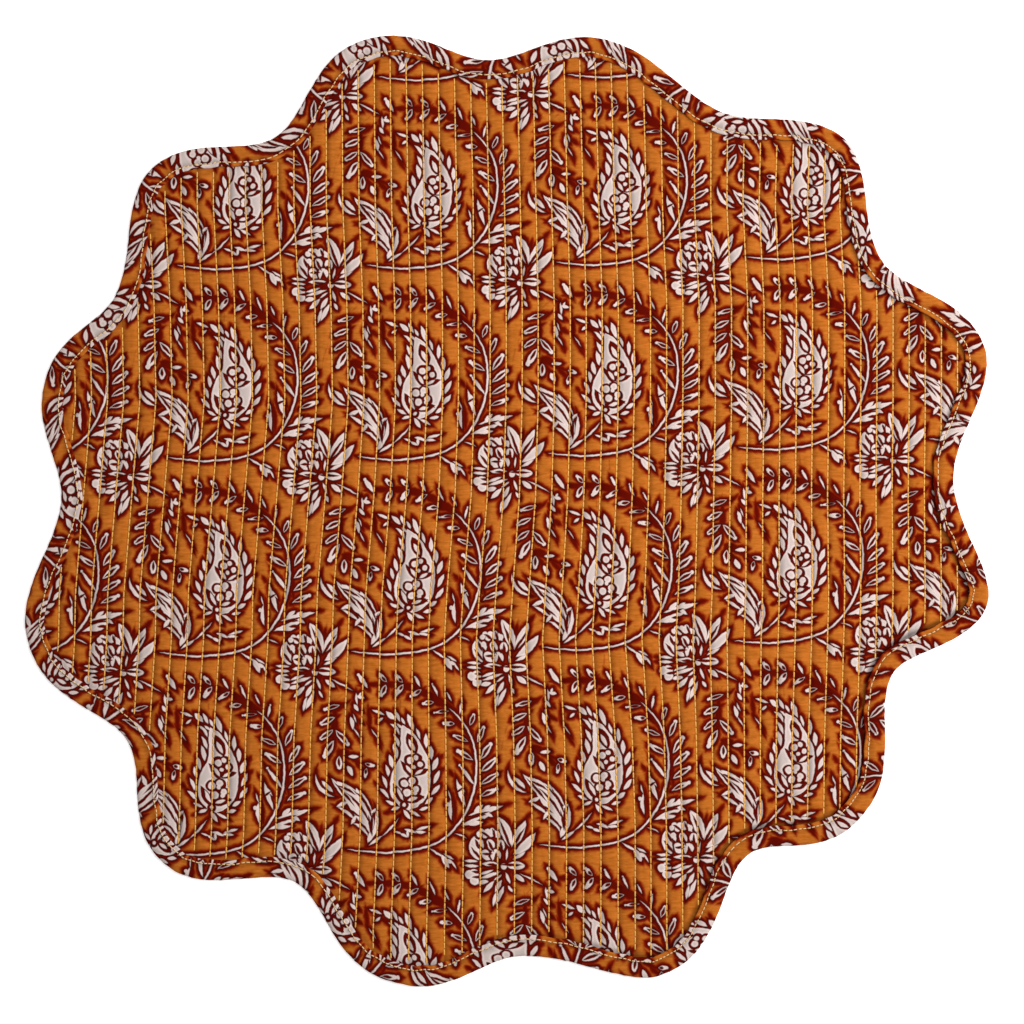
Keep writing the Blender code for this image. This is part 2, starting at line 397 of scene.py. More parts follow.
LOTUS_CUT = [
    Leaf((-1.0, 1.2), (6.6, 1.0), 0.42),
    Leaf((2.4, 6.0), (8.1, 14.9), 0.42, 0.2),
    Leaf((3.6, 5.8), (-1.0, 17.6), 0.45),
    Leaf((-4.2, 6.4), (-6.0, 10.2), 0.42),
    Leaf((-0.7, 5.8), (-1.0, 10.1), 0.42),
    Leaf((-4.8, 5.4), (-8.3, 5.3), 0.42),
    Leaf((-2.6, 1.8), (-3.3, 5.6), 0.5),
    Leaf((-6.0, 11.9), (-8.8, 13.9), 0.36, -0.3),
    Leaf((-3.2, 11.6), (-4.4, 14.9), 0.4),
    Leaf((-9.2, 3.2), (-12.7, 7.7), 0.42),
    Leaf((-9.8, 7.4), (-11.3, 10.9), 0.42),
    Leaf((-2.6, 1.0), (-6.6, 1.3), 0.4),
    Leaf((-9.0, -2.0), (-12.5, -1.7), 0.4),
    Leaf((-9.0, -3.6), (-12.5, -3.8), 0.4),
]
LOTUS_DARK = [
    Dot((-0.6, -0.6), 3.6),
    Dot((-7.5, 9.0), 2.4),
    Leaf((2.5, 9.0), (4.4, 18.4), 1.2),
    Leaf((9.5, 8.0), (14.0, 15.4), 1.5),
    Leaf((-2.8, 19.4), (2.8, 16.0), 1.8, 0.8),
    Leaf((8.4, 18.0), (11.2, 22.0), 0.8),
]
print(f"lotus: {len(LOTUS_WHITE)} white, {len(LOTUS_CUT)} cut and {len(LOTUS_DARK)} dark shapes")

# %% [markdown]
# ## The print, 3: paisley, leaves and sprigs
# This group fills the middle of the repeat: the paisley with its fringe, the
# berries inside it, the big serrated leaf at its left, and the sprigs and drops
# that hang from the lotus. The paisley's body is an egg with a bent tip, so it is
# drawn by two curves, its middle and its half width at each height. The hollow
# inside is cut from it, and the berries are laid back on top.

# %% Paisley and leaf charts
PAISLEY_HEIGHTS_MM = (-56.0, -18.0)
Slice = namedtuple("Slice", "height middle half_width")
PAISLEY_BODY = (
    Slice(-55.0, 36.8, -1.6),
    Slice(-53.4, 36.8, 0.5),
    Slice(-52.4, 36.8, 3.0),
    Slice(-51.3, 36.9, 4.4),
    Slice(-49.8, 37.0, 6.0),
    Slice(-47.0, 37.2, 7.6),
    Slice(-43.3, 37.6, 8.2),
    Slice(-40.0, 38.0, 8.0),
    Slice(-37.3, 38.5, 7.5),
    Slice(-35.0, 39.0, 6.8),
    Slice(-33.0, 39.3, 5.9),
    Slice(-28.0, 38.3, 4.4),
    Slice(-24.5, 37.2, 3.3),
    Slice(-22.0, 36.2, 2.2),
    Slice(-20.3, 34.9, 0.6),
    Slice(-18.8, 34.0, -1.6),
)
PAISLEY_CUT = [
    Leaf((36.8, -23.2), (40.2, -31.2), 1.9),
    Dot((38.0, -34.0), 2.5),
    Dot((40.4, -33.2), 2.0),
    Dot((41.7, -35.5), 1.9),
    Dot((39.0, -37.2), 2.5),
    Leaf((34.2, -34.3), (38.6, -40.6), 0.9),
    Leaf((39.6, -39.8), (45.0, -37.4), 0.9, 0.2),
    Dot((35.2, -43.0), 2.2),
    Dot((38.4, -42.4), 2.4),
    Dot((36.6, -46.5), 2.3),
    Dot((39.8, -45.6), 2.2),
    Leaf((30.9, -43.3), (35.6, -51.4), 1.4, -0.2),
    Leaf((34.2, -49.4), (42.8, -48.0), 1.3, -0.5),
    Dot((35.1, -51.4), 1.6),
    Leaf((40.4, -47.3), (42.8, -48.6), 0.4),
]
BERRIES_WHITE = [
    Leaf((37.1, -25.2), (39.8, -30.4), 1.05),
    Dot((37.8, -33.9), 1.55),
    Dot((40.1, -32.8), 1.2),
    Dot((41.7, -35.4), 1.25),
    Dot((39.2, -36.5), 1.0),
    Leaf((35.9, -35.4), (38.7, -39.5), 0.9),
    Leaf((39.3, -39.6), (43.2, -37.2), 0.8),
    Dot((35.3, -42.9), 1.7),
    Dot((38.4, -41.9), 1.55),
    Dot((37.9, -43.5), 1.0),
    Dot((36.4, -46.6), 1.65),
    Dot((39.9, -45.2), 1.45),
    Dot((39.5, -46.7), 1.05),
    Leaf((32.2, -44.3), (35.0, -50.0), 0.9, -0.1),
    Leaf((36.2, -49.8), (40.8, -48.4), 0.9),
    Dot((35.1, -51.4), 0.9),
]
FRINGE_WHITE = [
    Leaf((33.6, -24.2), (29.6, -19.3), 0.8, -0.9),
    Leaf((33.5, -28.9), (31.0, -23.2), 0.9, -0.3),
    Leaf((32.4, -33.6), (31.0, -27.0), 1.1, -0.3),
    Leaf((30.8, -37.2), (29.4, -31.4), 1.05),
    Leaf((29.0, -40.6), (28.0, -35.4), 0.95, -0.2),
    Leaf((28.3, -45.2), (26.3, -39.8), 0.9, -0.3),
    Leaf((29.3, -49.1), (25.2, -44.8), 0.9, -0.3),
    Leaf((31.7, -51.7), (27.5, -49.6), 0.8),
    Leaf((33.6, -52.1), (29.5, -53.7), 0.8),
    Leaf((34.5, -53.0), (37.5, -57.2), 1.0),
    Leaf((36.5, -53.3), (41.8, -55.9), 0.75),
    Leaf((40.8, -53.3), (45.0, -52.2), 0.85),
    Leaf((43.2, -51.0), (46.8, -48.4), 0.95),
    Leaf((45.9, -47.8), (49.6, -43.1), 1.05),
    Leaf((46.9, -43.2), (49.6, -37.4), 1.05),
    Leaf((46.7, -38.0), (48.9, -32.2), 1.2),
    Leaf((46.3, -33.7), (46.0, -27.6), 1.1),
    Leaf((44.3, -29.3), (44.2, -22.8), 1.0),
    Leaf((41.9, -25.8), (40.4, -20.8), 0.75),
    Leaf((39.4, -22.4), (36.8, -15.1), 1.2),
    Leaf((36.1, -20.0), (34.3, -16.6), 0.75),
    Leaf((34.0, -18.8), (31.7, -14.1), 0.85),
    Leaf((32.0, -18.1), (28.2, -14.4), 1.15),
    Leaf((28.0, -16.1), (22.3, -14.0), 0.75),
    Leaf((27.2, -17.0), (24.8, -19.0), 0.7),
    Leaf((35.0, -21.6), (32.3, -19.0), 0.7),
]
SERRATED_LEAF_WHITE = [
    Leaf((7.8, -48.7), (0.0, -39.4), 0.9, 2.5),
    Leaf((7.0, -47.1), (2.1, -42.3), 1.05),
    Leaf((13.6, -50.9), (5.8, -41.0), 1.3, -0.2),
    Leaf((13.2, -50.4), (7.9, -52.5), 0.95),
    Leaf((8.2, -52.4), (15.6, -57.4), 0.8, 0.3),
    Leaf((21.6, -63.0), (8.0, -42.2), 3.4, -1.9),
    Leaf((17.2, -53.2), (17.0, -58.2), 0.8),
    Leaf((17.4, -49.0), (15.9, -45.0), 0.95),
    Leaf((15.9, -45.2), (22.6, -55.2), 0.6, 0.9),
    Leaf((16.4, -55.4), (13.5, -59.4), 0.9),
    Leaf((14.2, -58.8), (20.6, -64.6), 0.8, 1.3),
    Leaf((22.4, -61.6), (21.8, -54.2), 1.0),
    Leaf((20.8, -66.2), (23.7, -53.0), 0.95, -1.5),
    Leaf((21.2, -55.2), (24.0, -53.0), 0.75),
    Leaf((20.2, -66.6), (22.9, -61.0), 1.2),
    Leaf((20.4, -67.6), (26.6, -63.4), 0.75),
    Leaf((25.3, -64.4), (33.5, -55.9), 0.55, -0.4),
    Leaf((30.4, -61.5), (34.2, -62.8), 0.6),
    Leaf((33.0, -62.4), (36.6, -64.3), 0.75),
    Leaf((34.6, -60.9), (40.2, -62.6), 0.8, 0.2),
    Leaf((36.4, -60.9), (36.3, -64.5), 0.7),
    Leaf((39.4, -61.4), (45.9, -59.4), 0.7),
    Leaf((38.8, -61.8), (44.0, -62.1), 0.75),
]
SERRATED_LEAF_CUT = [
    Leaf((8.0, -43.6), (14.6, -51.4), 0.36, 0.1),
    Leaf((8.8, -44.2), (15.2, -47.4), 0.34, 0.3),
    Leaf((12.8, -47.6), (21.0, -58.4), 0.38, 0.9),
    Leaf((15.6, -46.6), (22.1, -57.0), 0.38, 1.1),
    Leaf((20.8, -56.2), (21.9, -63.0), 0.36),
    Leaf((22.8, -54.6), (22.2, -62.8), 0.4, -0.5),
    Leaf((10.4, -52.4), (17.2, -56.4), 0.36, 0.3),
    Leaf((15.9, -58.0), (20.4, -62.6), 0.34, 0.6),
]
SPRIG_WHITE = [
    Leaf((16.3, -7.2), (16.9, -12.8), 0.65),
    Leaf((16.4, -8.8), (20.0, -9.6), 0.9),
    Leaf((17.4, -9.2), (18.4, -7.0), 0.6),
    Leaf((15.2, -11.8), (17.5, -14.8), 0.85),
    Leaf((13.9, -16.6), (15.2, -22.2), 0.95, 0.2),
    Leaf((14.9, -15.4), (16.5, -19.6), 0.45),
    Leaf((15.0, -20.8), (17.8, -25.5), 0.45),
    Leaf((22.0, -21.2), (25.3, -26.0), 0.4),
    Leaf((12.6, -32.7), (17.6, -32.5), 0.9, 0.0, 0.8),
    Leaf((12.6, -36.0), (14.8, -40.6), 1.15, 0.0, 0.7),
]
SPRIG_DROPS = [
    Drop((8.4, -12.8), (2.8, -14.6), 1.05),
    Drop((6.5, -17.9), (1.5, -20.4), 1.35, 0.72, 0.7),
    Drop((5.9, -23.2), (1.5, -26.4), 1.25, 0.78, 0.7),
    Drop((6.4, -28.0), (2.9, -34.0), 1.55, 0.5, 0.5),
    Drop((9.2, -23.8), (13.7, -28.7), 1.35, 0.7, 0.5),
    Drop((9.4, -33.8), (9.3, -38.2), 1.4, 0.6, 0.9),
    Drop((20.2, -38.0), (19.6, -41.4), 0.95, 0.45, 0.9),
    Drop((20.5, -35.6), (23.8, -36.5), 1.05, 0.35, 0.9),
]
SPRIG_DARK = [
    Leaf((14.0, -10.4), (7.2, -15.4), 0.7, 0.3),
    Leaf((7.8, -12.4), (6.8, -30.0), 1.3, 0.4),
    Leaf((8.4, -30.6), (14.6, -33.2), 1.7, 0.3),
    Leaf((12.0, -33.2), (21.0, -36.2), 0.8, 0.3),
    Leaf((9.0, -32.0), (14.2, -38.0), 0.9),
    Leaf((15.6, -34.6), (20.2, -38.8), 0.9),
    Leaf((16.0, -12.5), (19.8, -15.4), 0.9),
    Leaf((15.4, -17.4), (20.0, -20.2), 0.9),
    Leaf((16.4, -21.0), (18.6, -28.4), 1.1),
    Leaf((21.2, -12.6), (22.0, -22.4), 0.8),
    Leaf((22.4, -21.6), (26.4, -29.8), 1.0),
    Leaf((24.0, -16.8), (35.5, -20.6), 0.9),
    Leaf((48.6, -34.0), (51.0, -31.2), 0.7),
    Leaf((49.4, -38.4), (51.4, -36.4), 0.7),
    Leaf((24.8, -44.4), (23.2, -42.2), 0.7),
    Leaf((29.8, -53.8), (27.0, -55.0), 0.7),
]
print(f"paisley: {len(PAISLEY_CUT)} cuts, {len(BERRIES_WHITE)} berries,",
      f"{len(FRINGE_WHITE)} in its fringe;",
      f"serrated leaf: {len(SERRATED_LEAF_WHITE)}; sprigs: {len(SPRIG_WHITE)}")

# %% [markdown]
# ## The print, 4: the vine
# The vine is a long stalk that curls right round the paisley, with drops along
# it. Its distance from the paisley's middle changes slowly with the angle, so a
# curve holds that distance, and two more hold the half width of the white stalk
# and of the maroon around it. The bell flower and the leaves at its right have
# leaves of their own.

# %% Vine chart
VINE_CENTRE = (34.0, -37.0)
Bend = namedtuple("Bend", "angle_deg radius white dark")
VINE = (
    Bend(-150, 40.5, -2.0, -2.0),
    Bend(-127, 39.4, -0.6, -0.5),
    Bend(-122, 38.0, 0.35, 0.8),
    Bend(-101, 33.9, 0.55, 1.0),
    Bend(-82, 32.3, 0.55, 1.0),
    Bend(-63, 32.2, 0.55, 1.0),
    Bend(-47, 31.5, 0.55, 1.1),
    Bend(-35, 30.9, 0.6, 1.2),
    Bend(-15, 30.2, 0.6, 1.4),
    Bend(5, 30.3, 0.55, 1.6),
    Bend(25, 31.0, 0.5, 1.6),
    Bend(45, 31.1, 0.4, 1.6),
    Bend(55, 31.0, -0.3, 1.6),
    Bend(67, 31.3, -0.9, 1.5),
    Bend(80, 32.2, -0.9, 1.5),
    Bend(100, 33.5, -0.9, 1.2),
    Bend(113, 35.6, -0.9, 0.6),
    Bend(120, 37.0, -2.0, -1.5),
)
VINE_DROPS = [
    Drop((20.2, -4.2), (16.9, 0.6), 1.1, 0.0, 0.3),
    Drop((28.0, -2.3), (25.5, 0.6), 1.05, 0.45, 1.1),
    Drop((34.4, -2.4), (31.8, 0.5), 1.05, 0.35, 1.2),
    Drop((41.6, -3.8), (39.6, -0.2), 0.75, 0.0, 1.0),
    Drop((48.7, -7.3), (46.8, -2.8), 0.6, 0.0, 0.9),
    Drop((54.2, -9.6), (52.6, -6.3), 0.55, 0.0, 0.9),
    Drop((58.0, -14.4), (58.9, -9.9), 0.65, 0.0, 0.5),
    Drop((62.2, -18.8), (63.8, -14.6), 1.1, 0.72, 0.6),
    Drop((65.3, -25.1), (67.7, -19.6), 1.25, 0.72, 0.6),
    Drop((67.0, -31.6), (70.7, -26.0), 1.45, 0.68, 0.6),
    Drop((67.4, -36.9), (72.7, -32.4), 1.5, 0.7, 0.6),
    Drop((67.3, -42.1), (73.3, -38.4), 1.3, 0.72, 0.5),
    Drop((67.0, -47.0), (73.2, -44.4), 1.2, 0.45, 0.4),
    Drop((27.9, -5.2), (26.0, -9.2), 1.3, 0.55, 0.6),
    Drop((34.7, -4.8), (31.8, -8.6), 1.25, 0.3, 0.6),
    Drop((41.6, -6.4), (37.5, -9.0), 1.05, 0.35, 0.7),
    Drop((46.4, -10.8), (42.2, -11.5), 1.1, 0.5, 0.8),
    Drop((52.2, -14.3), (46.9, -14.9), 0.75, 0.5, 0.4),
    Drop((54.6, -19.2), (50.3, -19.0), 1.1, 0.25, 0.8),
    Drop((59.8, -25.6), (54.5, -23.5), 1.05, 0.68, 0.4),
    Drop((61.6, -32.6), (56.0, -29.3), 1.25, 0.5, 0.35),
    Drop((62.2, -41.8), (57.0, -34.8), 0.85, 0.0, 0.2),
]
VINE_WHITE = [
    Leaf((59.8, -52.2), (56.1, -40.7), 1.05, 0.3),
    Leaf((56.7, -42.6), (59.6, -46.5), 0.6),
    Leaf((52.6, -45.1), (54.0, -49.6), 0.45),
    Leaf((53.9, -48.6), (54.2, -57.6), 0.9, -0.7),
    Dot((52.5, -51.1), 1.0),
    Leaf((65.0, -48.2), (66.8, -46.6), 0.4),
    Leaf((60.2, -55.4), (75.0, -51.3), 1.25),
    Leaf((62.8, -54.2), (66.7, -50.8), 1.0),
    Leaf((66.0, -53.4), (69.8, -51.2), 0.9),
    Leaf((66.2, -53.4), (70.6, -56.0), 0.9),
    Leaf((57.4, -59.5), (69.8, -55.0), 1.2),
    Leaf((60.2, -59.0), (67.0, -57.9), 0.9),
    Leaf((54.6, -62.5), (60.2, -64.6), 0.45, 0.35),
    Leaf((44.4, -68.0), (51.2, -72.2), 0.6),
    Leaf((49.4, -70.6), (52.5, -76.2), 1.3, 0.2),
    Leaf((50.3, -70.2), (54.8, -72.7), 0.6),
    Leaf((51.0, -72.4), (54.2, -74.0), 0.9),
    Leaf((53.2, -72.4), (55.6, -76.6), 0.55),
]
VINE_CUT = [
    Leaf((60.2, -56.2), (68.4, -53.8), 0.42),
    Leaf((64.2, -57.3), (67.8, -57.0), 0.42),
    Leaf((55.6, -46.6), (58.8, -44.6), 0.3),
]
VINE_DARK = [
    Leaf((56.6, -62.8), (61.0, -65.4), 0.6),
    Leaf((65.0, -29.0), (66.0, -48.5), 0.9),
    Leaf((46.8, -11.0), (53.0, -12.0), 0.9),
    Leaf((55.0, -15.0), (60.0, -22.0), 1.2, -0.4),
    Leaf((59.6, -60.6), (66.6, -59.6), 0.7),
    Leaf((73.4, -51.4), (78.2, -50.4), 0.8),
    Leaf((57.4, -24.8), (61.8, -27.0), 0.9),
    Leaf((55.2, -40.4), (53.4, -37.4), 0.7),
    Leaf((54.6, -46.0), (55.6, -58.0), 0.9),
]

sprig_white, sprig_cut, sprig_dark = drops_as_leaves(SPRIG_DROPS)
vine_white, vine_cut, vine_dark = drops_as_leaves(VINE_DROPS)
ALL_WHITE = (LOTUS_WHITE + BERRIES_WHITE + FRINGE_WHITE + SERRATED_LEAF_WHITE
             + SPRIG_WHITE + sprig_white + VINE_WHITE + vine_white)
ALL_CUT = LOTUS_CUT + SERRATED_LEAF_CUT + sprig_cut + VINE_CUT + vine_cut
ALL_DARK = LOTUS_DARK + SPRIG_DARK + sprig_dark + VINE_DARK + vine_dark
print(f"chart: {len(ALL_WHITE)} white, {len(ALL_CUT)} cut and {len(ALL_DARK)} dark shapes")

# %% [markdown]
# ## The print, 5: one repeat in nine zones
# The print repeats every 75 mm across the mat and every 76 mm up it. The chart is
# a touch larger than life, so one repeat of it is 76.8 by 78.2 mm, and it leans a
# little. Each piece of cloth gets a UV map that counts repeats, so its whole part
# says which repeat and the rest where in it.
#
# One shader could draw the whole repeat, but then each point of cloth would ask
# after every shape in it, near or far. So the repeat is cut into three by three
# zones. Each zone has its own copy of the cotton, which holds only the shapes
# that come near it, moved by whole repeats where they cross a border. The
# coordinates are wrapped about the zone's middle, and two dot products turn them
# into millimetres on the cloth.

# %% Zones
REPEAT_RIGHT_MM = (76.8, 2.5)
REPEAT_UP_MM = (2.3, 78.2)
ZONES = 3
ZONE_HALF_MM = 13.5
BLEED_REACH_MM = 4.2
COPIES = tuple((right, up) for right in (-1, 0, 1) for up in (-1, 0, 1, 2))
to_mm = np.array([REPEAT_RIGHT_MM, REPEAT_UP_MM]).T


def zone_middle(zone):
    """The middle of a zone, counted in repeats."""
    return (np.array(zone) + 0.5) / ZONES


def is_near(place, reach, zone):
    """Whether a circle comes within reach of the ink from the zone's square."""
    off = np.abs(np.array(place) - to_mm @ zone_middle(zone)) - ZONE_HALF_MM
    return np.hypot(*np.maximum(off, 0)) < reach + BLEED_REACH_MM


def near_shapes(shapes, zone):
    """The copies of the shapes, moved by whole repeats, that come near the zone."""
    found = []
    for copy in COPIES:
        step = to_mm @ copy
        for shape in shapes:
            if isinstance(shape, Dot):
                moved = shape._replace(centre=np.add(shape.centre, step))
                place, reach = moved.centre, shape.radius
            else:
                root, tip = np.add(shape.root, step), np.add(shape.tip, step)
                moved = shape._replace(root=root, tip=tip)
                place, reach = (root + tip) / 2, np.hypot(*(tip - root)) / 2
            if is_near(place, reach, zone):
                found.append(moved)
    return found


def cloth_about(tree, repeats, zone):
    """Millimetres on the cloth, in the one repeat that has the zone in its middle."""
    middle = zone_middle(zone)
    highest, lowest = (*(middle + 0.5), 1.0), (*(middle - 0.5), -1.0)
    one = add(tree, "VectorMath", (repeats, highest, lowest), operation="WRAP")
    u = add(tree, "VectorMath", (one, (*to_mm[0], 0.0)), out=1, operation="DOT_PRODUCT")
    v = add(tree, "VectorMath", (one, (*to_mm[1], 0.0)), out=1, operation="DOT_PRODUCT")
    return add(tree, "CombineXYZ", (u, v, 0.0))


all_zones = [(right, up) for up in range(ZONES) for right in range(ZONES)]
print("white shapes near each zone:", [len(near_shapes(ALL_WHITE, zone)) for zone in all_zones])

# %% [markdown]
# ## The print, 6: distances
# Every shape is drawn as a distance in millimetres that is below zero inside it.
# The nearest of many shapes is the smallest distance, and a shape with another
# cut out of it is the larger of its distance and minus the other's. The white's
# edge then also gives the maroon line along it: wherever its distance is small.

# %% Distances
WHITE_INSET_MM = 0.17
CUT_WIDEN_MM = 0.14
OUTLINE_MM = 1.0
INK_CORE_MM = 0.6
FAR_MM = 9.0
PAISLEY_MIDDLE = np.array([37.5, -37.0])
PAISLEY_REACH_MM = 19.0
PAISLEY_MIDDLE_SPAN = (30.0, 45.0)
PAISLEY_HALF_SPAN = (-2.0, 9.0)
VINE_REACH_MM = 2.0
VINE_RADIUS_SPAN = (29.0, 39.0)
VINE_HALF_SPAN = (-2.5, 3.0)


def arc_circle(root, tip, rise):
    """The circle whose arc from root to tip rises to their left: r = (l^2 + rise^2) / 2 rise."""
    half = np.hypot(*(tip - root)) / 2
    left = np.array([root[1] - tip[1], tip[0] - root[0]]) / (2 * half)
    radius = (half ** 2 + rise ** 2) / (2 * abs(rise))
    centre = (root + tip) / 2 + left * (rise - math.copysign(radius, rise))
    return (*centre, 0.0), radius


def distance_to(tree, cloth, shape):
    """A dot is |p - c| - r. A leaf is the larger of its two circles' distances."""
    if isinstance(shape, Dot):
        gap = add(tree, "VectorMath", (cloth, (*shape.centre, 0.0)), out=1, operation="DISTANCE")
        return add(tree, "Math", (gap, shape.radius), operation="SUBTRACT")
    sides = []
    for rise, sign in ((shape.half_width + shape.bend, 1), (shape.half_width - shape.bend, -1)):
        centre, radius = arc_circle(shape.root, shape.tip, rise * sign)
        gap = add(tree, "VectorMath", (cloth, centre), out=1, operation="DISTANCE")
        pair = (gap, radius) if rise > 0 else (radius, gap)
        sides.append(add(tree, "Math", pair, operation="SUBTRACT"))
    if shape.blunt:
        return add(tree, "Math", (*sides, shape.blunt), operation="SMOOTH_MAX")
    return add(tree, "Math", sides, operation="MAXIMUM")


def smallest(tree, distances):
    """The smallest of some distances, or far away if there are none."""
    so_far = distances[0] if distances else FAR_MM
    for distance in distances[1:]:
        so_far = add(tree, "Math", (so_far, distance), operation="MINIMUM")
    return so_far


def cut_out(tree, whole, hole):
    """The larger of the whole's distance and minus the hole's."""
    rest = add(tree, "Math", (hole, -1.0), operation="MULTIPLY")
    return add(tree, "Math", (whole, rest), operation="MAXIMUM")


def smooth_curve(tree, place, spots, values, low, high):
    """A smooth curve through a value at each spot: low + (high - low) * curve(place), all 0..1."""
    scaled = [(at, (value - low) / (high - low)) for at, value in zip(spots, values)]
    level = add(tree, "FloatCurve", {"Value": place})
    mapping = level.node.mapping
    mapping.extend = "HORIZONTAL"
    curve = mapping.curves[0]
    curve.points[0].location, curve.points[1].location = scaled[0], scaled[-1]
    for spot in scaled[1:-1]:
        curve.points.new(*spot)
    mapping.update()
    return add(tree, "Math", (level, high - low, low), operation="MULTIPLY_ADD")


def paisley_body(tree, cloth):
    """|u - middle at this height| - half width at this height."""
    low, high = PAISLEY_HEIGHTS_MM
    split = add(tree, "SeparateXYZ", (cloth,))
    height = split.node.outputs[1]
    place = add(tree, "MapRange", {"Value": height, "From Min": low, "From Max": high})
    heights, middles, half_widths = zip(*PAISLEY_BODY)
    spots = [(level - low) / (high - low) for level in heights]
    middle = smooth_curve(tree, place, spots, middles, *PAISLEY_MIDDLE_SPAN)
    half = smooth_curve(tree, place, spots, half_widths, *PAISLEY_HALF_SPAN)
    off = add(tree, "Math", (split, middle), operation="SUBTRACT")
    apart = add(tree, "Math", (off,), operation="ABSOLUTE")
    return add(tree, "Math", (apart, half), operation="SUBTRACT")


def vine_stalk(tree, cloth):
    """|reach - the vine's radius at this angle| - half width, for the white and the maroon."""
    arm = add(tree, "VectorMath", (cloth, (*VINE_CENTRE, 0.0)), operation="SUBTRACT")
    reach = add(tree, "VectorMath", (arm,), out=1, operation="LENGTH")
    split = add(tree, "SeparateXYZ", (arm,))
    angle = add(tree, "Math", (split.node.outputs[1], split), operation="ARCTAN2")
    turn = add(tree, "Math", (angle, 0.5 / math.pi, 0.5), operation="MULTIPLY_ADD")
    angles, radii, whites, darks = zip(*VINE)
    spots = [(angle_deg + 180) / 360 for angle_deg in angles]
    radius = smooth_curve(tree, turn, spots, radii, *VINE_RADIUS_SPAN)
    off = add(tree, "Math", (reach, radius), operation="SUBTRACT")
    apart = add(tree, "Math", (off,), operation="ABSOLUTE")
    halves = [smooth_curve(tree, turn, spots, row, *VINE_HALF_SPAN) for row in (whites, darks)]
    return [add(tree, "Math", (apart, half), operation="SUBTRACT") for half in halves]


def vine_is_near(zone, step):
    """Whether any part of the stalk, moved by step, comes near the zone."""
    angles = np.arange(VINE[0].angle_deg, VINE[-1].angle_deg)
    reach = np.interp(angles, [row.angle_deg for row in VINE], [row.radius for row in VINE])
    turn = np.radians(angles)
    places = VINE_CENTRE + step + reach[:, None] * np.column_stack([np.cos(turn), np.sin(turn)])
    return any(is_near(place, VINE_REACH_MM, zone) for place in places)


def ink_distance(tree, repeats, zone):
    """Distance in mm from bare white cotton, with maroon fills held at the core of the line."""
    cloth = cloth_about(tree, repeats, zone)
    whites, darks, cuts, holes = (
        [distance_to(tree, cloth, shape) for shape in near_shapes(chart, zone)]
        for chart in (ALL_WHITE, ALL_DARK, ALL_CUT, PAISLEY_CUT)
    )
    for copy in COPIES:
        step = to_mm @ copy
        has_vine = vine_is_near(zone, step)
        has_paisley = is_near(PAISLEY_MIDDLE + step, PAISLEY_REACH_MM, zone)
        if has_vine or has_paisley:
            here = add(tree, "VectorMath", (cloth, (*step, 0.0)), operation="SUBTRACT")
        if has_vine:
            stalk, shade = vine_stalk(tree, here)
            whites.append(stalk)
            darks.append(shade)
        if has_paisley:
            body = paisley_body(tree, here)
            whites.append(cut_out(tree, body, smallest(tree, holes)))
            darks.append(body)
    white = add(tree, "Math", (smallest(tree, whites), WHITE_INSET_MM), operation="ADD")
    cut = add(tree, "Math", (smallest(tree, cuts), CUT_WIDEN_MM), operation="SUBTRACT")
    dark = add(tree, "Math", (smallest(tree, darks), OUTLINE_MM), operation="ADD")
    filled = add(tree, "Math", (dark, INK_CORE_MM), operation="MAXIMUM")
    return add(tree, "Math", (cut_out(tree, white, cut), filled), operation="MINIMUM")


petal = LOTUS_WHITE[1]
_, petal_radius = arc_circle(np.array(petal.root), np.array(petal.tip), petal.half_width)
print(f"a petal {2 * petal.half_width} mm wide is cut from circles of {petal_radius:.1f} mm")

# %% [markdown]
# ## The print, 7: the cotton's material
# This is printed plain-weave cotton. Dye sinks into cotton, so nothing of the
# print is glossy: the same broad, dull surface goes over all of it. Seen from
# the white outwards, the ink is darkest where it meets the white, then creeps
# along the threads and fades through red-brown into the ochre. Cotton that was
# kept bare is a touch greyer in the middle of a petal than at its rim.
#
# The threads of the weave are finer than the picture can show, so the weave is
# drawn at 0.7 mm. Beside each row of stitches the cloth is drawn up into short
# puckers: a noise stretched across the row, strongest at the row. The fold at the
# right of a row is steeper and deeper on the real mat than in this shallow mesh,
# so shade is painted into the cloth just right of each row. A painted shadow of
# the strip's raised lip darkens the cloth beside the strip too, most of all at
# the lower right.

# %% Printed cotton
Ink = namedtuple("Ink", "from_white_mm colour")
INK = (
    Ink(-1.1, "bfafa9"),
    Ink(-0.25, "d8c4bd"),
    Ink(0.12, "420300"),
    Ink(0.7, "5c0900"),
    Ink(1.3, "7b1602"),
    Ink(2.4, "90370c"),
)
GROUND_OCHRE = "c06c27"
GROUND_DEEP = "98500f"
FADE_FROM_MM = 0.95
FADE_TO_MM = 2.5
# Painted shade just right of each row, and the painted shadow of the strip's lip.
ROW_SHADE = 0.3
ROW_SHADE_REACH = 0.42
LIP_SHADE_FROM_MM = 0.3
LIP_SHADE_TO_MM = 2.4
WANDER_MM = 0.4
WANDER_SIZE_MM = 2.6
CREEP_MM = 1.6
SLUB_LENGTH_MM = 5.0
SLUB_WIDTH_MM = 1.1
SLUB_DEEP, SLUB_LIGHT = 0.28, 0.66
WEAVE_PITCH_MM = 0.7
WEAVE_DEPTH_MM = 0.1
WEAVE_STRENGTH = 0.35
PUCKER_MM = 0.3
PUCKER_FADE = 1.6
PRINT_REPEAT_MM = 75.0
COTTON = {"Roughness": 0.9, "IOR": 1.45, "Specular IOR Level": 0.04}


def weave_normal(tree, placed):
    """The slopes of a plain weave, whose height is sin(x) * sin(y) over the thread pitch."""
    waves = 2 * math.pi / (WEAVE_PITCH_MM * MM)
    scaled = add(tree, "VectorMath", {0: placed, "Scale": waves}, operation="SCALE")
    sines = add(tree, "VectorMath", (scaled,), operation="SINE")
    split = add(tree, "SeparateXYZ", (sines,))
    height = add(tree, "Math", (split, split.node.outputs[1]), operation="MULTIPLY")
    return add(tree, "Bump", {"Strength": WEAVE_STRENGTH, "Distance": WEAVE_DEPTH_MM * MM,
                              "Height": height})


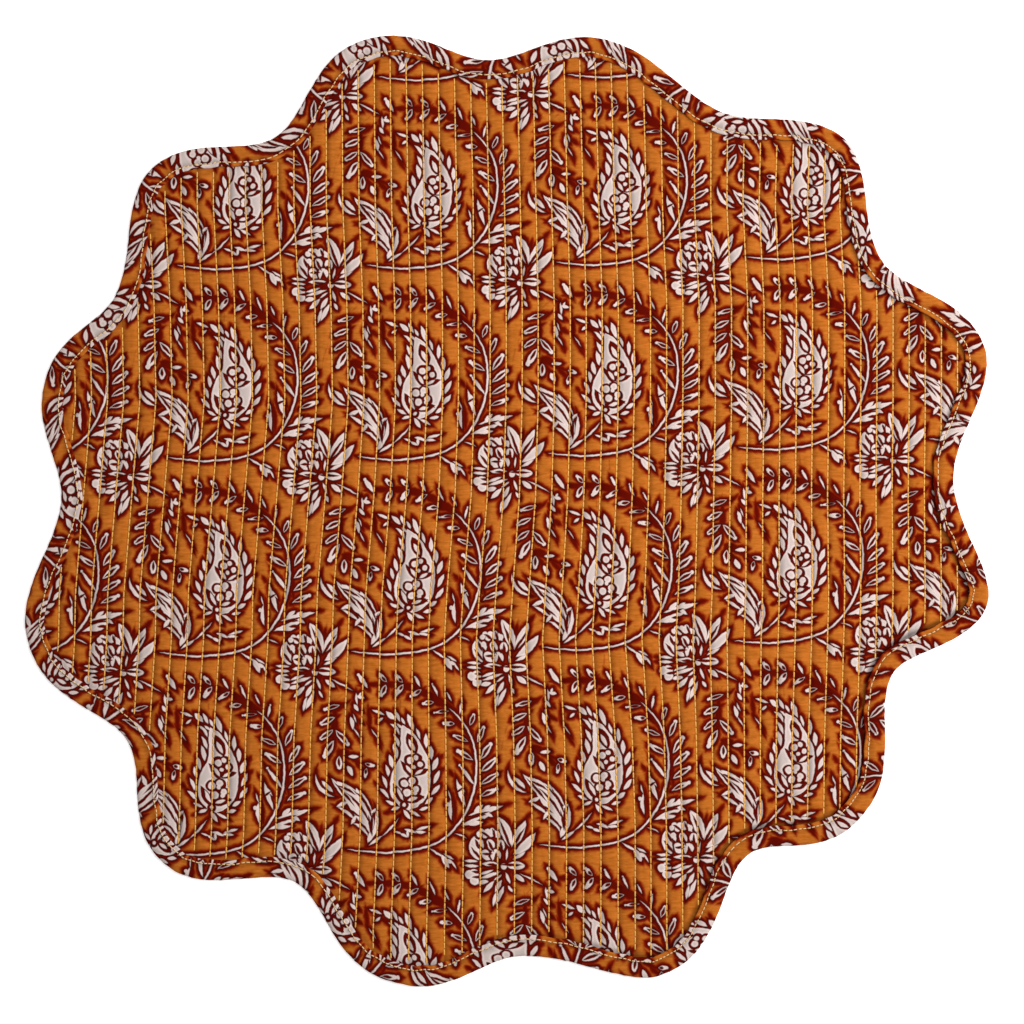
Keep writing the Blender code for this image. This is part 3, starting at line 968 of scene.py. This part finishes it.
def pucker_height(tree):
    """Noise on the seam map, times 1 - 1.6 * (the way to the nearest row, in channels)."""
    seam = add(tree, "UVMap", uv_map="seam")
    split = add(tree, "SeparateXYZ", (seam,))
    ruck = add(tree, "TexNoise", {"Vector": seam, "Scale": 1.0, "Detail": 2.0})
    away = add(tree, "Math", (split, 0.5), operation="PINGPONG")
    near_row = add(tree, "Math", (away, -PUCKER_FADE, 1.0), operation="MULTIPLY_ADD")
    return add(tree, "Math", (ruck, near_row), operation="MULTIPLY")


def painted_fold_shade(tree):
    """Painted shade: (1 - painted shade right of a row) * (1 - painted shadow beside the strip's
    lip).
    """
    seam = add(tree, "UVMap", uv_map="seam")
    split = add(tree, "SeparateXYZ", (seam,))
    place = add(tree, "Math", (split,), operation="FRACT")
    by_row = add(tree, "MapRange", {
        "Value": place, "From Max": ROW_SHADE_REACH, "To Min": 1 - ROW_SHADE,
    }, interpolation_type="SMOOTHSTEP")
    lip = add(tree, "UVMap", uv_map="lip")
    parts = add(tree, "SeparateXYZ", (lip,))
    beside = add(tree, "MapRange", {
        "Value": parts, "From Min": LIP_SHADE_TO_MM, "From Max": LIP_SHADE_FROM_MM,
    }, interpolation_type="SMOOTHSTEP")
    taken = add(tree, "Math", (beside, parts.node.outputs[1]), operation="MULTIPLY")
    by_lip = add(tree, "Math", (1.0, taken), operation="SUBTRACT")
    return add(tree, "Math", (by_row, by_lip), operation="MULTIPLY")


def printed_cotton(zone):
    """Block-printed plain-weave cotton: ochre, maroon and bare white, with weave and puckers."""
    material, tree = new_material(f"block-printed cotton, zone {zone[0] + 1}-{zone[1] + 1}")
    cloth_map = add(tree, "UVMap", uv_map="cloth")
    placed = add(tree, "TexCoord", out=3)

    wander = add(tree, "TexNoise", {
        "Vector": placed, "Scale": 1 / (WANDER_SIZE_MM * MM), "Detail": 2.0,
    }, out=1)
    centred = add(tree, "VectorMath", (wander, (0.5, 0.5, 0.5)), operation="SUBTRACT")
    shift = 2 * WANDER_MM / PRINT_REPEAT_MM
    repeats = add(tree, "VectorMath", (centred, (shift, shift, 0.0), cloth_map),
                  operation="MULTIPLY_ADD")
    distance = ink_distance(tree, repeats, zone)

    nearest, farthest = INK[0].from_white_mm, INK[-1].from_white_mm
    place = add(tree, "MapRange", {"Value": distance, "From Min": nearest, "From Max": farthest})
    inked = add(tree, "ValToRGB", (place,))
    ramp = inked.node.color_ramp
    for step in INK[1:-1]:
        ramp.elements.new((step.from_white_mm - nearest) / (farthest - nearest))
    for stop, step in zip(ramp.elements, INK):
        stop.color = linear(step.colour)

    creep = add(tree, "SeparateXYZ", (centred,))
    crept = add(tree, "Math", (creep.node.outputs[2], CREEP_MM, distance),
                operation="MULTIPLY_ADD")
    dyed_over = add(tree, "MapRange", {
        "Value": crept, "From Min": FADE_TO_MM, "From Max": FADE_FROM_MM,
    }, interpolation_type="SMOOTHSTEP")
    slubs = (1 / (SLUB_LENGTH_MM * MM), 1 / (SLUB_WIDTH_MM * MM), 0.0)
    drawn = add(tree, "VectorMath", (placed, slubs), operation="MULTIPLY")
    cloud = add(tree, "TexNoise", {"Vector": drawn, "Scale": 1.0, "Detail": 4.0, "Roughness": 0.7})
    clouds = add(tree, "MapRange",
                 {"Value": cloud, "From Min": SLUB_DEEP, "From Max": SLUB_LIGHT})
    ground = add(tree, "Mix", {0: clouds, 6: linear(GROUND_DEEP), 7: linear(GROUND_OCHRE)},
                 out=2, data_type="RGBA")
    dyed = add(tree, "Mix", {0: dyed_over, 6: ground, 7: inked}, out=2, data_type="RGBA")
    # The print darkened by painted shade beside the rows and painted shadow beside the strip's
    # lip.
    dyed_with_painted_shade = add(tree, "VectorMath", {0: dyed, "Scale": painted_fold_shade(tree)}, operation="SCALE")

    normal = add(tree, "Bump", {"Strength": 1.0, "Distance": PUCKER_MM * MM,
                                "Height": pucker_height(tree),
                                "Normal": weave_normal(tree, placed)})
    surface = add(tree, "BsdfPrincipled", {**COTTON, "Base Color": dyed_with_painted_shade, "Normal": normal})
    add(tree, "OutputMaterial", (surface,))
    print(f"{material.name}: {len(tree.nodes)} nodes")
    return material


print_cottons = [printed_cotton(zone) for zone in all_zones]


def zone_of(cloth, faces):
    """The number of the zone that each face's middle lies in."""
    middle = cloth[faces].mean(axis=1)
    right, up = np.floor(middle % 1 * ZONES).astype(int).clip(0, ZONES - 1).T
    return up * ZONES + right


# %% [markdown]
# ## Plain cotton and thread
# The backing is plain dyed cotton with the same weave. The quilting is sewn in a
# golden thread and the strip in a cream one. Both are mercerised cotton: smooth,
# so they keep a soft gloss that the cloth hasn't.

# %% Plain cotton and thread
THREAD = {"Roughness": 0.5, "IOR": 1.5}
TWIST_DEPTH_MM = 0.05
TWIST_STRENGTH = 0.4
CLOUDS_PER_METRE = 60.0
TWISTS_PER_METRE = 1400.0


def dyed_in_one(name, colour, deep, per_metre, detail, is_thread):
    """Two shades mixed by noise; the slopes are the weave's on cotton, the noise's on thread."""
    material, tree = new_material(name)
    placed = add(tree, "TexCoord", out=3)
    noise = add(tree, "TexNoise", {"Vector": placed, "Scale": per_metre, "Detail": detail})
    dyed = add(tree, "Mix", {0: noise, 6: linear(deep), 7: linear(colour)},
               out=2, data_type="RGBA")
    if is_thread:
        normal = add(tree, "Bump", {"Strength": TWIST_STRENGTH, "Height": noise,
                                    "Distance": TWIST_DEPTH_MM * MM})
    else:
        normal = weave_normal(tree, placed)
    finish = THREAD if is_thread else COTTON
    surface = add(tree, "BsdfPrincipled", {**finish, "Base Color": dyed, "Normal": normal})
    add(tree, "OutputMaterial", (surface,))
    print(f"{name}: {len(tree.nodes)} nodes")
    return material


backing_cotton = dyed_in_one("plain-weave backing cotton", "b4722e", "9c5c20",
                             CLOUDS_PER_METRE, 4.0, is_thread=False)
quilting_thread, topstitch_thread = (
    dyed_in_one(name, colour, deep, TWISTS_PER_METRE, 2.0, is_thread=True)
    for name, colour, deep in (
        ("golden mercerised quilting thread", "ecb455", "c88834"),
        ("cream mercerised topstitch thread", "f2d5a4", "c8995e"),
    )
)

# %% [markdown]
# ## The cloth map of the body
# A UV map says which bit of print lies where. On the body of the mat the print
# lies almost square, but cloth is never quite straight: it is turned a degree,
# and it bows as it was pulled over the wadding, more so towards the lower edge.

# %% Cloth map
LOTUS_OFFSET_MM = (-1.6, -13.9)
CLOTH_RIGHT = (0.998, -0.033)
CLOTH_UP = (-0.022, 0.984)
Bow = namedtuple("Bow", "xx xy yy")
BOW_RIGHT = Bow(0.0, 0.007, -0.010)
BOW_UP = Bow(-0.009, 0.004, 0.011)
BOW_PER_MM = 100.0


def body_cloth(x, y):
    """Repeats at (x, y), in mm: a turned and skewed grid, plus a bow by x*x, x*y and y*y."""
    x, y = x.ravel() / MM, y.ravel() / MM
    along = []
    for offset, (by_x, by_y), bow in zip(
        LOTUS_OFFSET_MM, (CLOTH_RIGHT, CLOTH_UP), (BOW_RIGHT, BOW_UP)
    ):
        bowed = (bow.xx * x * x + bow.xy * x * y + bow.yy * y * y) / BOW_PER_MM
        along.append(offset + by_x * x + by_y * y + bowed)
    return np.column_stack(along) / PRINT_REPEAT_MM


corner = np.array([VIEW_WIDTH / 2])
print("repeats from the lotus to the view's corner:", body_cloth(corner, corner).round(2))

# %% [markdown]
# ## The quilted body
# A grid follows the rows: each column of points keeps its place between two rows
# of stitches, so every groove is crisp however the rows lean. The height across a
# channel is a rounded pad that drops steeply to the stitches. Only the part of
# the grid that lies inside the edge is kept, its rim is drawn onto the edge, and
# the same grid, lower down, is the backing.

# %% Quilted body
COLUMN_PLACES = (0.0, 0.1, 0.28, 0.5, 0.72, 0.9)
ALONG_STEP = 2.1 * MM
GRID_HALF_HEIGHT = 190 * MM
CHANNEL_TOP = 2.4 * MM
STITCHED_TOP = 1.6 * MM
PAD_ROUNDNESS = 2.6
UNDER_GROOVE = 0.45 * MM
EDGE_TOP = 1.8 * MM
EDGE_BOTTOM = 0.8 * MM
HOLD_INSET = 9.3 * MM
ROW_END_INSET = 11.0 * MM
LOOSE_INSET = 11.6 * MM
RIM_INSET = 2.0 * MM
RUCKS_PER_ROW_PITCH = 2.2
STRIP_WIDTH = 8.3 * MM
# Painted shadow of the strip's lip on the body, strongest on the mat's lower right side.
LIP_SHADOW_SIDE = (0.9, -0.44)
LIP_SHADE_LEAST = 0.12
LIP_SHADE_MORE = 0.55


def pad(place):
    """Fullness between two rows: 1 - |1 - 2d|^roundness, d being the way to the nearest row."""
    nearest = np.abs(place - np.round(place))
    return 1 - np.abs(1 - 2 * nearest) ** PAD_ROUNDNESS


def smooth_step(value, low, high):
    """s * s * (3 - 2s), s being how far the value has come from low to high."""
    share = np.clip((value - low) / (high - low), 0, 1)
    return share * share * (3 - 2 * share)


def top_height(place, inset):
    """The pads on top, pressed level where the folded strip holds them."""
    free = smooth_step(inset, HOLD_INSET, ROW_END_INSET)
    padded = STITCHED_TOP + (CHANNEL_TOP - STITCHED_TOP) * pad(place)
    return EDGE_TOP + (padded - EDGE_TOP) * free


def under_height(place, inset):
    """Flat on the table, a shallow groove under each row, and lifted into the strip at the rim."""
    lifted = EDGE_BOTTOM * (1 - smooth_step(inset, HOLD_INSET, LOOSE_INSET))
    groove = UNDER_GROOVE * (1 - pad(place)) * smooth_step(inset, HOLD_INSET, ROW_END_INSET)
    return lifted + groove


def quilted_body():
    """Both faces of the quilted body as one closed sheet, with a cloth map."""
    first, last = -ROWS_LEFT - 1, ROWS_RIGHT + 1
    places = (np.arange(first, last)[:, None] + np.array(COLUMN_PLACES)).ravel()
    heights = np.arange(-GRID_HALF_HEIGHT, GRID_HALF_HEIGHT, ALONG_STEP)
    place, y = np.meshgrid(places, heights)
    x = row_x(place, y)
    inset = inset_of(x, y)

    index = np.arange(x.size).reshape(x.shape)
    corners = np.stack([index[:-1, :-1], index[:-1, 1:], index[1:, 1:], index[1:, :-1]], axis=-1)
    corners = corners.reshape(-1, 4)
    faces = corners[(inset.ravel()[corners] > RIM_INSET).all(axis=1)]

    sides = np.stack([faces, np.roll(faces, -1, axis=1)], axis=-1).reshape(-1, 2)
    keys = np.sort(sides, axis=1)
    _, first_seen, times = np.unique(keys, axis=0, return_index=True, return_counts=True)
    rim = sides[first_seen[times == 1]]

    used = np.unique(faces)
    renumber = np.full(x.size, -1)
    renumber[used] = np.arange(len(used))
    faces, rim = renumber[faces], renumber[rim]
    spots = np.column_stack([x.ravel()[used], y.ravel()[used]])
    place, inset = place.ravel()[used], inset.ravel()[used]

    rim_points, rim_line = np.unique(rim), edge - outward * RIM_INSET
    apart = spots[rim_points][:, None] - rim_line[None]
    spots[rim_points] = rim_line[(apart ** 2).sum(axis=2).argmin(axis=1)]
    inset[rim_points] = RIM_INSET

    top = np.column_stack([spots, top_height(place, inset)])
    under = np.column_stack([spots, under_height(place, inset)])
    count = len(top)
    wall = np.column_stack([rim[:, 1], rim[:, 0], rim[:, 0] + count, rim[:, 1] + count])
    all_faces = np.vstack([faces, faces[:, ::-1] + count, wall])
    cloth = body_cloth(spots[:, 0], spots[:, 1])
    backing = np.full(len(faces) + len(wall), len(print_cottons))
    face_material = np.concatenate([zone_of(cloth, faces), backing])
    seam = np.column_stack([place, spots[:, 1] / ROW_PITCH * RUCKS_PER_ROW_PITCH])
    # How much painted shadow of the lip falls here: more towards the lower right.
    facing = spots @ np.array(LIP_SHADOW_SIDE) / np.hypot(*spots.T).clip(MM)
    lip_shade = LIP_SHADE_LEAST + LIP_SHADE_MORE * facing.clip(0)
    lip = np.column_stack([(inset - STRIP_WIDTH) / MM, lip_shade])
    maps = {name: np.vstack([values, values])
            for name, values in (("cloth", cloth), ("seam", seam), ("lip", lip))}
    return make_mesh("quilted_body", np.vstack([top, under]), all_faces,
                     (*print_cottons, backing_cotton), face_material, maps)


body = quilted_body()
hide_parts("quilted_panel")

# %% [markdown]
# ## The folded strip
# A strip of the same print is folded over the cut edge and stitched down a little
# way from its inner fold, so that fold stands up as a soft lip. The shape is one
# section, a list of folds given by how far each is from the edge or from the
# inner fold. Cutting its corners twice rounds it, and it is carried round the
# edge. The strip was cut a little off the straight, so the level of the print
# that it shows drifts as it goes round: a short table says which level is where.

# %% Folded strip
Wave = namedtuple("Wave", "times_round height_mm start")
INNER_FOLD_WAVES = (
    Wave(7, 0.3, 0.0), Wave(61, 0.14, 0.3), Wave(113, 0.13, 0.8), Wave(157, 0.1, 0.1),
)
OUTER_FOLD_WAVES = (Wave(73, 0.09, 0.6), Wave(131, 0.08, 0.2), Wave(199, 0.06, 0.9))
CROWN_WAVES = (Wave(89, 0.06, 0.4), Wave(139, 0.06, 0.7), Wave(181, 0.05, 0.0))
CROWN_FROM_MM = 2.3
TOPSTITCH_SETBACK_MM = 1.9
Fold = namedtuple("Fold", "name from_outline_mm from_inner_fold_mm height_mm")
STRIP_SECTION = (
    Fold("inner end of the under leg", None, 0.0, 0.0),
    Fold("underside near the fold", 0.9, None, 0.0),
    Fold("lower turn of the fold", 0.0, None, 0.8),
    Fold("upper turn of the fold", 0.0, None, 1.9),
    Fold("shoulder of the top leg", 0.9, None, 2.7),
    Fold("crown of the top leg", 3.4, None, 3.05),
    Fold("groove under the topstitching", None, TOPSTITCH_SETBACK_MM, 2.6),
    Fold("raised lip of the inner fold", None, 0.4, 2.85),
    Fold("inner end of the top leg", None, 0.0, 2.1),
    Fold("roof inside the fold", 0.6, None, 2.1),
    Fold("floor inside the fold", 0.6, None, 0.5),
    Fold("top of the under leg", None, 0.0, 0.5),
)
STRIP_EASE = 1.062
PAISLEY_ON_STRIP = 0.4233
Level = namedtuple("Level", "share_of_edge level_mm")
STRIP_LEVELS = (
    Level(0.00, 2.0),
    Level(0.10, 10.0),
    Level(0.18, 18.0),
    Level(0.30, 26.0),
    Level(0.38, 29.0),
    Level(0.60, 31.0),
    Level(0.68, 35.0),
    Level(0.74, 46.0),
    Level(0.82, 58.0),
    Level(0.92, 70.0),
    Level(1.00, 78.0),
)


def cut_corners(loop):
    """Each side of a closed loop is cut at a quarter and three quarters of its length."""
    following = np.roll(loop, -1, axis=0)
    return np.stack([loop * 0.75 + following * 0.25, loop * 0.25 + following * 0.75],
                    axis=1).reshape(-1, *loop.shape[1:])


def ripple(waves):
    """At each station, the sum of height * sin(2 pi * (times round * share of edge + start))."""
    turns = 2 * math.pi * edge_walk / edge_length
    return sum(wave.height_mm * MM * np.sin(wave.times_round * turns + 2 * math.pi * wave.start)
               for wave in waves)


strip_width = STRIP_WIDTH + ripple(INNER_FOLD_WAVES)


def folded_strip():
    """The section carried round the edge: point = edge - outward * inset, at its height."""
    outer = np.abs(ripple(OUTER_FOLD_WAVES))
    crown = -np.abs(ripple(CROWN_WAVES))
    section = []
    for fold in STRIP_SECTION:
        if fold.from_outline_mm is None:
            inset = strip_width - fold.from_inner_fold_mm * MM
        else:
            inset = fold.from_outline_mm * MM + outer
        lift = crown if fold.height_mm > CROWN_FROM_MM else 0 * crown
        section.append(np.column_stack([inset, fold.height_mm * MM + lift]))
    section = cut_corners(cut_corners(np.array(section)))
    inset, height = section[..., 0], section[..., 1]
    spots = edge[None] - outward[None] * inset[..., None]
    points = np.concatenate([spots, height[..., None]], axis=2)

    # The last column repeats the first one, so the print has a seam to end at.
    points = np.concatenate([points, points[:, :1]], axis=1)
    inset = np.concatenate([inset, inset[:, :1]], axis=1)
    walk = np.append(edge_walk, edge_length)
    folds, stations = inset.shape
    index = np.arange(folds * stations).reshape(folds, stations)
    near, far = index[:, :-1], index[:, 1:]
    faces = np.stack([near, far, np.roll(far, -1, axis=0), np.roll(near, -1, axis=0)], axis=-1)
    faces = faces.reshape(-1, 4)

    along = (walk / MM - PAISLEY_ON_STRIP * edge_length / MM) / STRIP_EASE
    level = np.interp(walk / edge_length, *np.array(STRIP_LEVELS).T)
    u = PAISLEY_MIDDLE[0] + along + 0 * inset
    v = level + inset / MM
    cloth = np.stack([u, v], axis=-1).reshape(-1, 2) @ np.linalg.inv(to_mm).T
    off_seam = (STRIP_WIDTH - TOPSTITCH_SETBACK_MM * MM - inset) / ROW_PITCH
    rucks = (walk / ROW_PITCH + 0 * inset) * RUCKS_PER_ROW_PITCH
    seam = np.stack([off_seam, rucks], axis=-1).reshape(-1, 2)
    maps = {"cloth": cloth, "seam": seam, "lip": np.zeros_like(seam)}
    return make_mesh("folded_strip", points.reshape(-1, 3), faces, print_cottons,
                     zone_of(cloth, faces), maps)


strip = folded_strip()
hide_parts("edge_binding")

# %% [markdown]
# ## The stitches
# Each stitch is a short thread that comes up out of the cloth, lies on it, and
# goes down again. There are thousands, so one stitch has only fourteen faces: four
# rings of four points, joined and capped. All stitches of a seam are one array, and
# a seam is laid twice, once on the top and once underneath.

# %% One seam
Lay = namedtuple("Lay", "height half_width half_height upward")
Ring = namedtuple("Ring", "share lift")
STITCH_RINGS = (Ring(0.0, -0.9), Ring(0.2, 0.5), Ring(0.8, 0.5), Ring(1.0, -0.9))
RING_POINTS = 4


def stitches(name, stops, lay, material):
    """Rings at start + share * (end - start) + lift * up, each a diamond of four points."""
    start, end = (np.column_stack([spots, np.full(len(spots), lay.height)]) for spots in stops)
    along = end - start
    level = along[:, :2] / np.hypot(*along[:, :2].T)[:, None]
    side = np.column_stack([-level[:, 1], level[:, 0], 0 * level[:, 0]]) * lay.half_width
    up = np.array([0.0, 0.0, lay.upward * lay.half_height])
    centres = [start + along * ring.share + up * ring.lift for ring in STITCH_RINGS]
    rings = [np.stack([centre + side, centre + up, centre - side, centre - up], axis=1)
             for centre in centres]
    index = np.arange(len(STITCH_RINGS) * RING_POINTS).reshape(-1, RING_POINTS)
    after = np.roll(index, -1, axis=1)
    walls = np.stack([index[:-1], index[1:], after[1:], after[:-1]], axis=-1)
    one = np.vstack([walls.reshape(-1, RING_POINTS), index[:1], index[-1:, ::-1]])
    if lay.upward < 0:
        one = one[:, ::-1]
    faces = np.arange(len(start))[:, None, None] * index.size + one
    print(f"{name}: {len(start)} stitches")
    return make_mesh(name, np.stack(rings, axis=1).reshape(-1, 3),
                     faces.reshape(-1, RING_POINTS), (material,))


# %% [markdown]
# ## Quilting stitches
# They follow the rows of the quilting and end at the strip's inner fold. Each row
# has its first stitch at a chance height, so no two rows keep step.

# %% Quilting stitches
QUILT_STITCH = 2.6 * MM
STITCH_GAP = 0.1 * MM
QUILT_STITCH_SEED = 61
ROW_THREAD_INSET = 8.2 * MM
QUILTED_ABOVE = Lay(STITCHED_TOP + 0.14 * MM, 0.32 * MM, 0.2 * MM, 1.0)
QUILTED_BELOW = Lay(UNDER_GROOVE - 0.02 * MM, 0.32 * MM, 0.2 * MM, -1.0)


def row_stops():
    """Start and end of every stitch: y climbs by one stitch, and x is the row's own at that y."""
    rng = np.random.default_rng(QUILT_STITCH_SEED)
    starts, ends = [], []
    for number in range(-ROWS_LEFT, ROWS_RIGHT + 1):
        first = -GRID_HALF_HEIGHT + rng.uniform(0, QUILT_STITCH)
        begin = np.arange(first, GRID_HALF_HEIGHT, QUILT_STITCH)
        start, end = (np.column_stack([row_x(float(number), y), y])
                      for y in (begin, begin + QUILT_STITCH - STITCH_GAP))
        kept = np.minimum(inset_of(*start.T), inset_of(*end.T)) > ROW_THREAD_INSET
        starts.append(start[kept])
        ends.append(end[kept])
    return np.vstack(starts), np.vstack(ends)


row_seams = row_stops()
quilting = stitches("quilting_stitches", row_seams, QUILTED_ABOVE, quilting_thread)
quilting_under = stitches("quilting_stitches_under", row_seams, QUILTED_BELOW, quilting_thread)

# %% [markdown]
# ## Topstitching
# One seam holds the strip down, at a fixed distance from its inner fold all the way
# round. Underneath, its stitches lie almost level with the strip.

# %% Topstitching
TOPSTITCH = 2.0 * MM
TOPSTITCH_GAP = 0.5 * MM
TOPSTITCHED_ABOVE = Lay(2.76 * MM, 0.24 * MM, 0.16 * MM, 1.0)
TOPSTITCHED_BELOW = Lay(0.03 * MM, 0.24 * MM, 0.03 * MM, -1.0)


def strip_stops():
    """Start and end of every stitch, at edge - outward * (width of the strip - setback)."""
    seam = edge - outward * (strip_width - TOPSTITCH_SETBACK_MM * MM)[:, None]
    closed = np.vstack([seam, seam[:1]])
    closed_walk = np.append(edge_walk, edge_length)
    count = round(edge_length / TOPSTITCH)
    begin = np.arange(count) * edge_length / count
    end = begin + edge_length / count - TOPSTITCH_GAP
    return [np.column_stack([np.interp(walk, closed_walk, side) for side in closed.T])
            for walk in (begin, end)]


strip_seam = strip_stops()
top_seam = stitches("topstitching", strip_seam, TOPSTITCHED_ABOVE, topstitch_thread)
under_seam = stitches("topstitching_under", strip_seam, TOPSTITCHED_BELOW, topstitch_thread)

# %% [markdown]
# ## What the cloth was before it was sewn
# The body was cut to the mat's outline, and the strip as long as the edge and as
# wide as both its legs. The strip's length is printed here.

# %% Sheets
print(f"the strip was cut {edge_length:.3f} m long")

# %% [markdown]
# ## Floor and light
# The photo has a plain white ground with no shadow on it, like a light table: white
# paper that glows a little. Each pad of the quilting is darker on its left flank
# and brighter on its right one, so a large soft lamp stands at the right. The mat
# is dimmer towards its left and lower edges, so a second lamp hangs close above
# it, off its middle to the upper right. An even pale sky fills the shadows.

# %% Floor and light
FLOOR_SIDE = 6.0
FLOOR_DROP = 0.05 * MM
PAPER_GLOW = 0.6
SKY_STRENGTH = 0.25
Lamp = namedtuple("Lamp", "name place size watts")
LAMPS = (
    Lamp("soft_key_lamp", (1.15, 0.35, 0.95), 0.7, 22.0),
    Lamp("close_top_lamp", (0.09, 0.07, 0.52), 0.3, 1.4),
)


def studio():
    """A big glowing floor, an even sky, and each lamp aimed at the mat's middle."""
    material, tree = new_material("matt white paper of a light table")
    paper = add(tree, "BsdfPrincipled", {
        "Base Color": linear("ffffff"), "Roughness": 0.9,
        "Emission Color": linear("ffffff"), "Emission Strength": PAPER_GLOW,
    })
    add(tree, "OutputMaterial", (paper,))
    half = FLOOR_SIDE / 2
    mesh = bpy.data.meshes.new("studio_floor")
    corners = [(-half, -half), (half, -half), (half, half), (-half, half)]
    mesh.from_pydata([(x, y, -FLOOR_DROP) for x, y in corners], [], [(0, 1, 2, 3)])
    mesh.materials.append(material)
    floor = bpy.data.objects.new("studio_floor", mesh)
    bpy.context.scene.collection.objects.link(floor)

    world = bpy.data.worlds.new("studio_sky")
    world.use_nodes = True
    bpy.context.scene.world = world
    sky = world.node_tree.nodes["Background"]
    sky.inputs["Color"].default_value = linear("ffffff")
    sky.inputs["Strength"].default_value = SKY_STRENGTH

    for row in LAMPS:
        light = bpy.data.lights.new(row.name, "AREA")
        light.shape = "SQUARE"
        light.size = row.size
        light.energy = row.watts
        lamp = bpy.data.objects.new(row.name, light)
        lamp.location = row.place
        lamp.visible_camera = False
        x, y, z = (-part for part in row.place)
        tilt, turn = math.atan2(math.hypot(x, y), -z), math.atan2(y, x) - math.pi / 2
        lamp.rotation_euler = (tilt, 0.0, turn)
        bpy.context.scene.collection.objects.link(lamp)
        print(f"{row.name}: {row.watts} W, {row.size} m square, at {row.place} m")


studio()
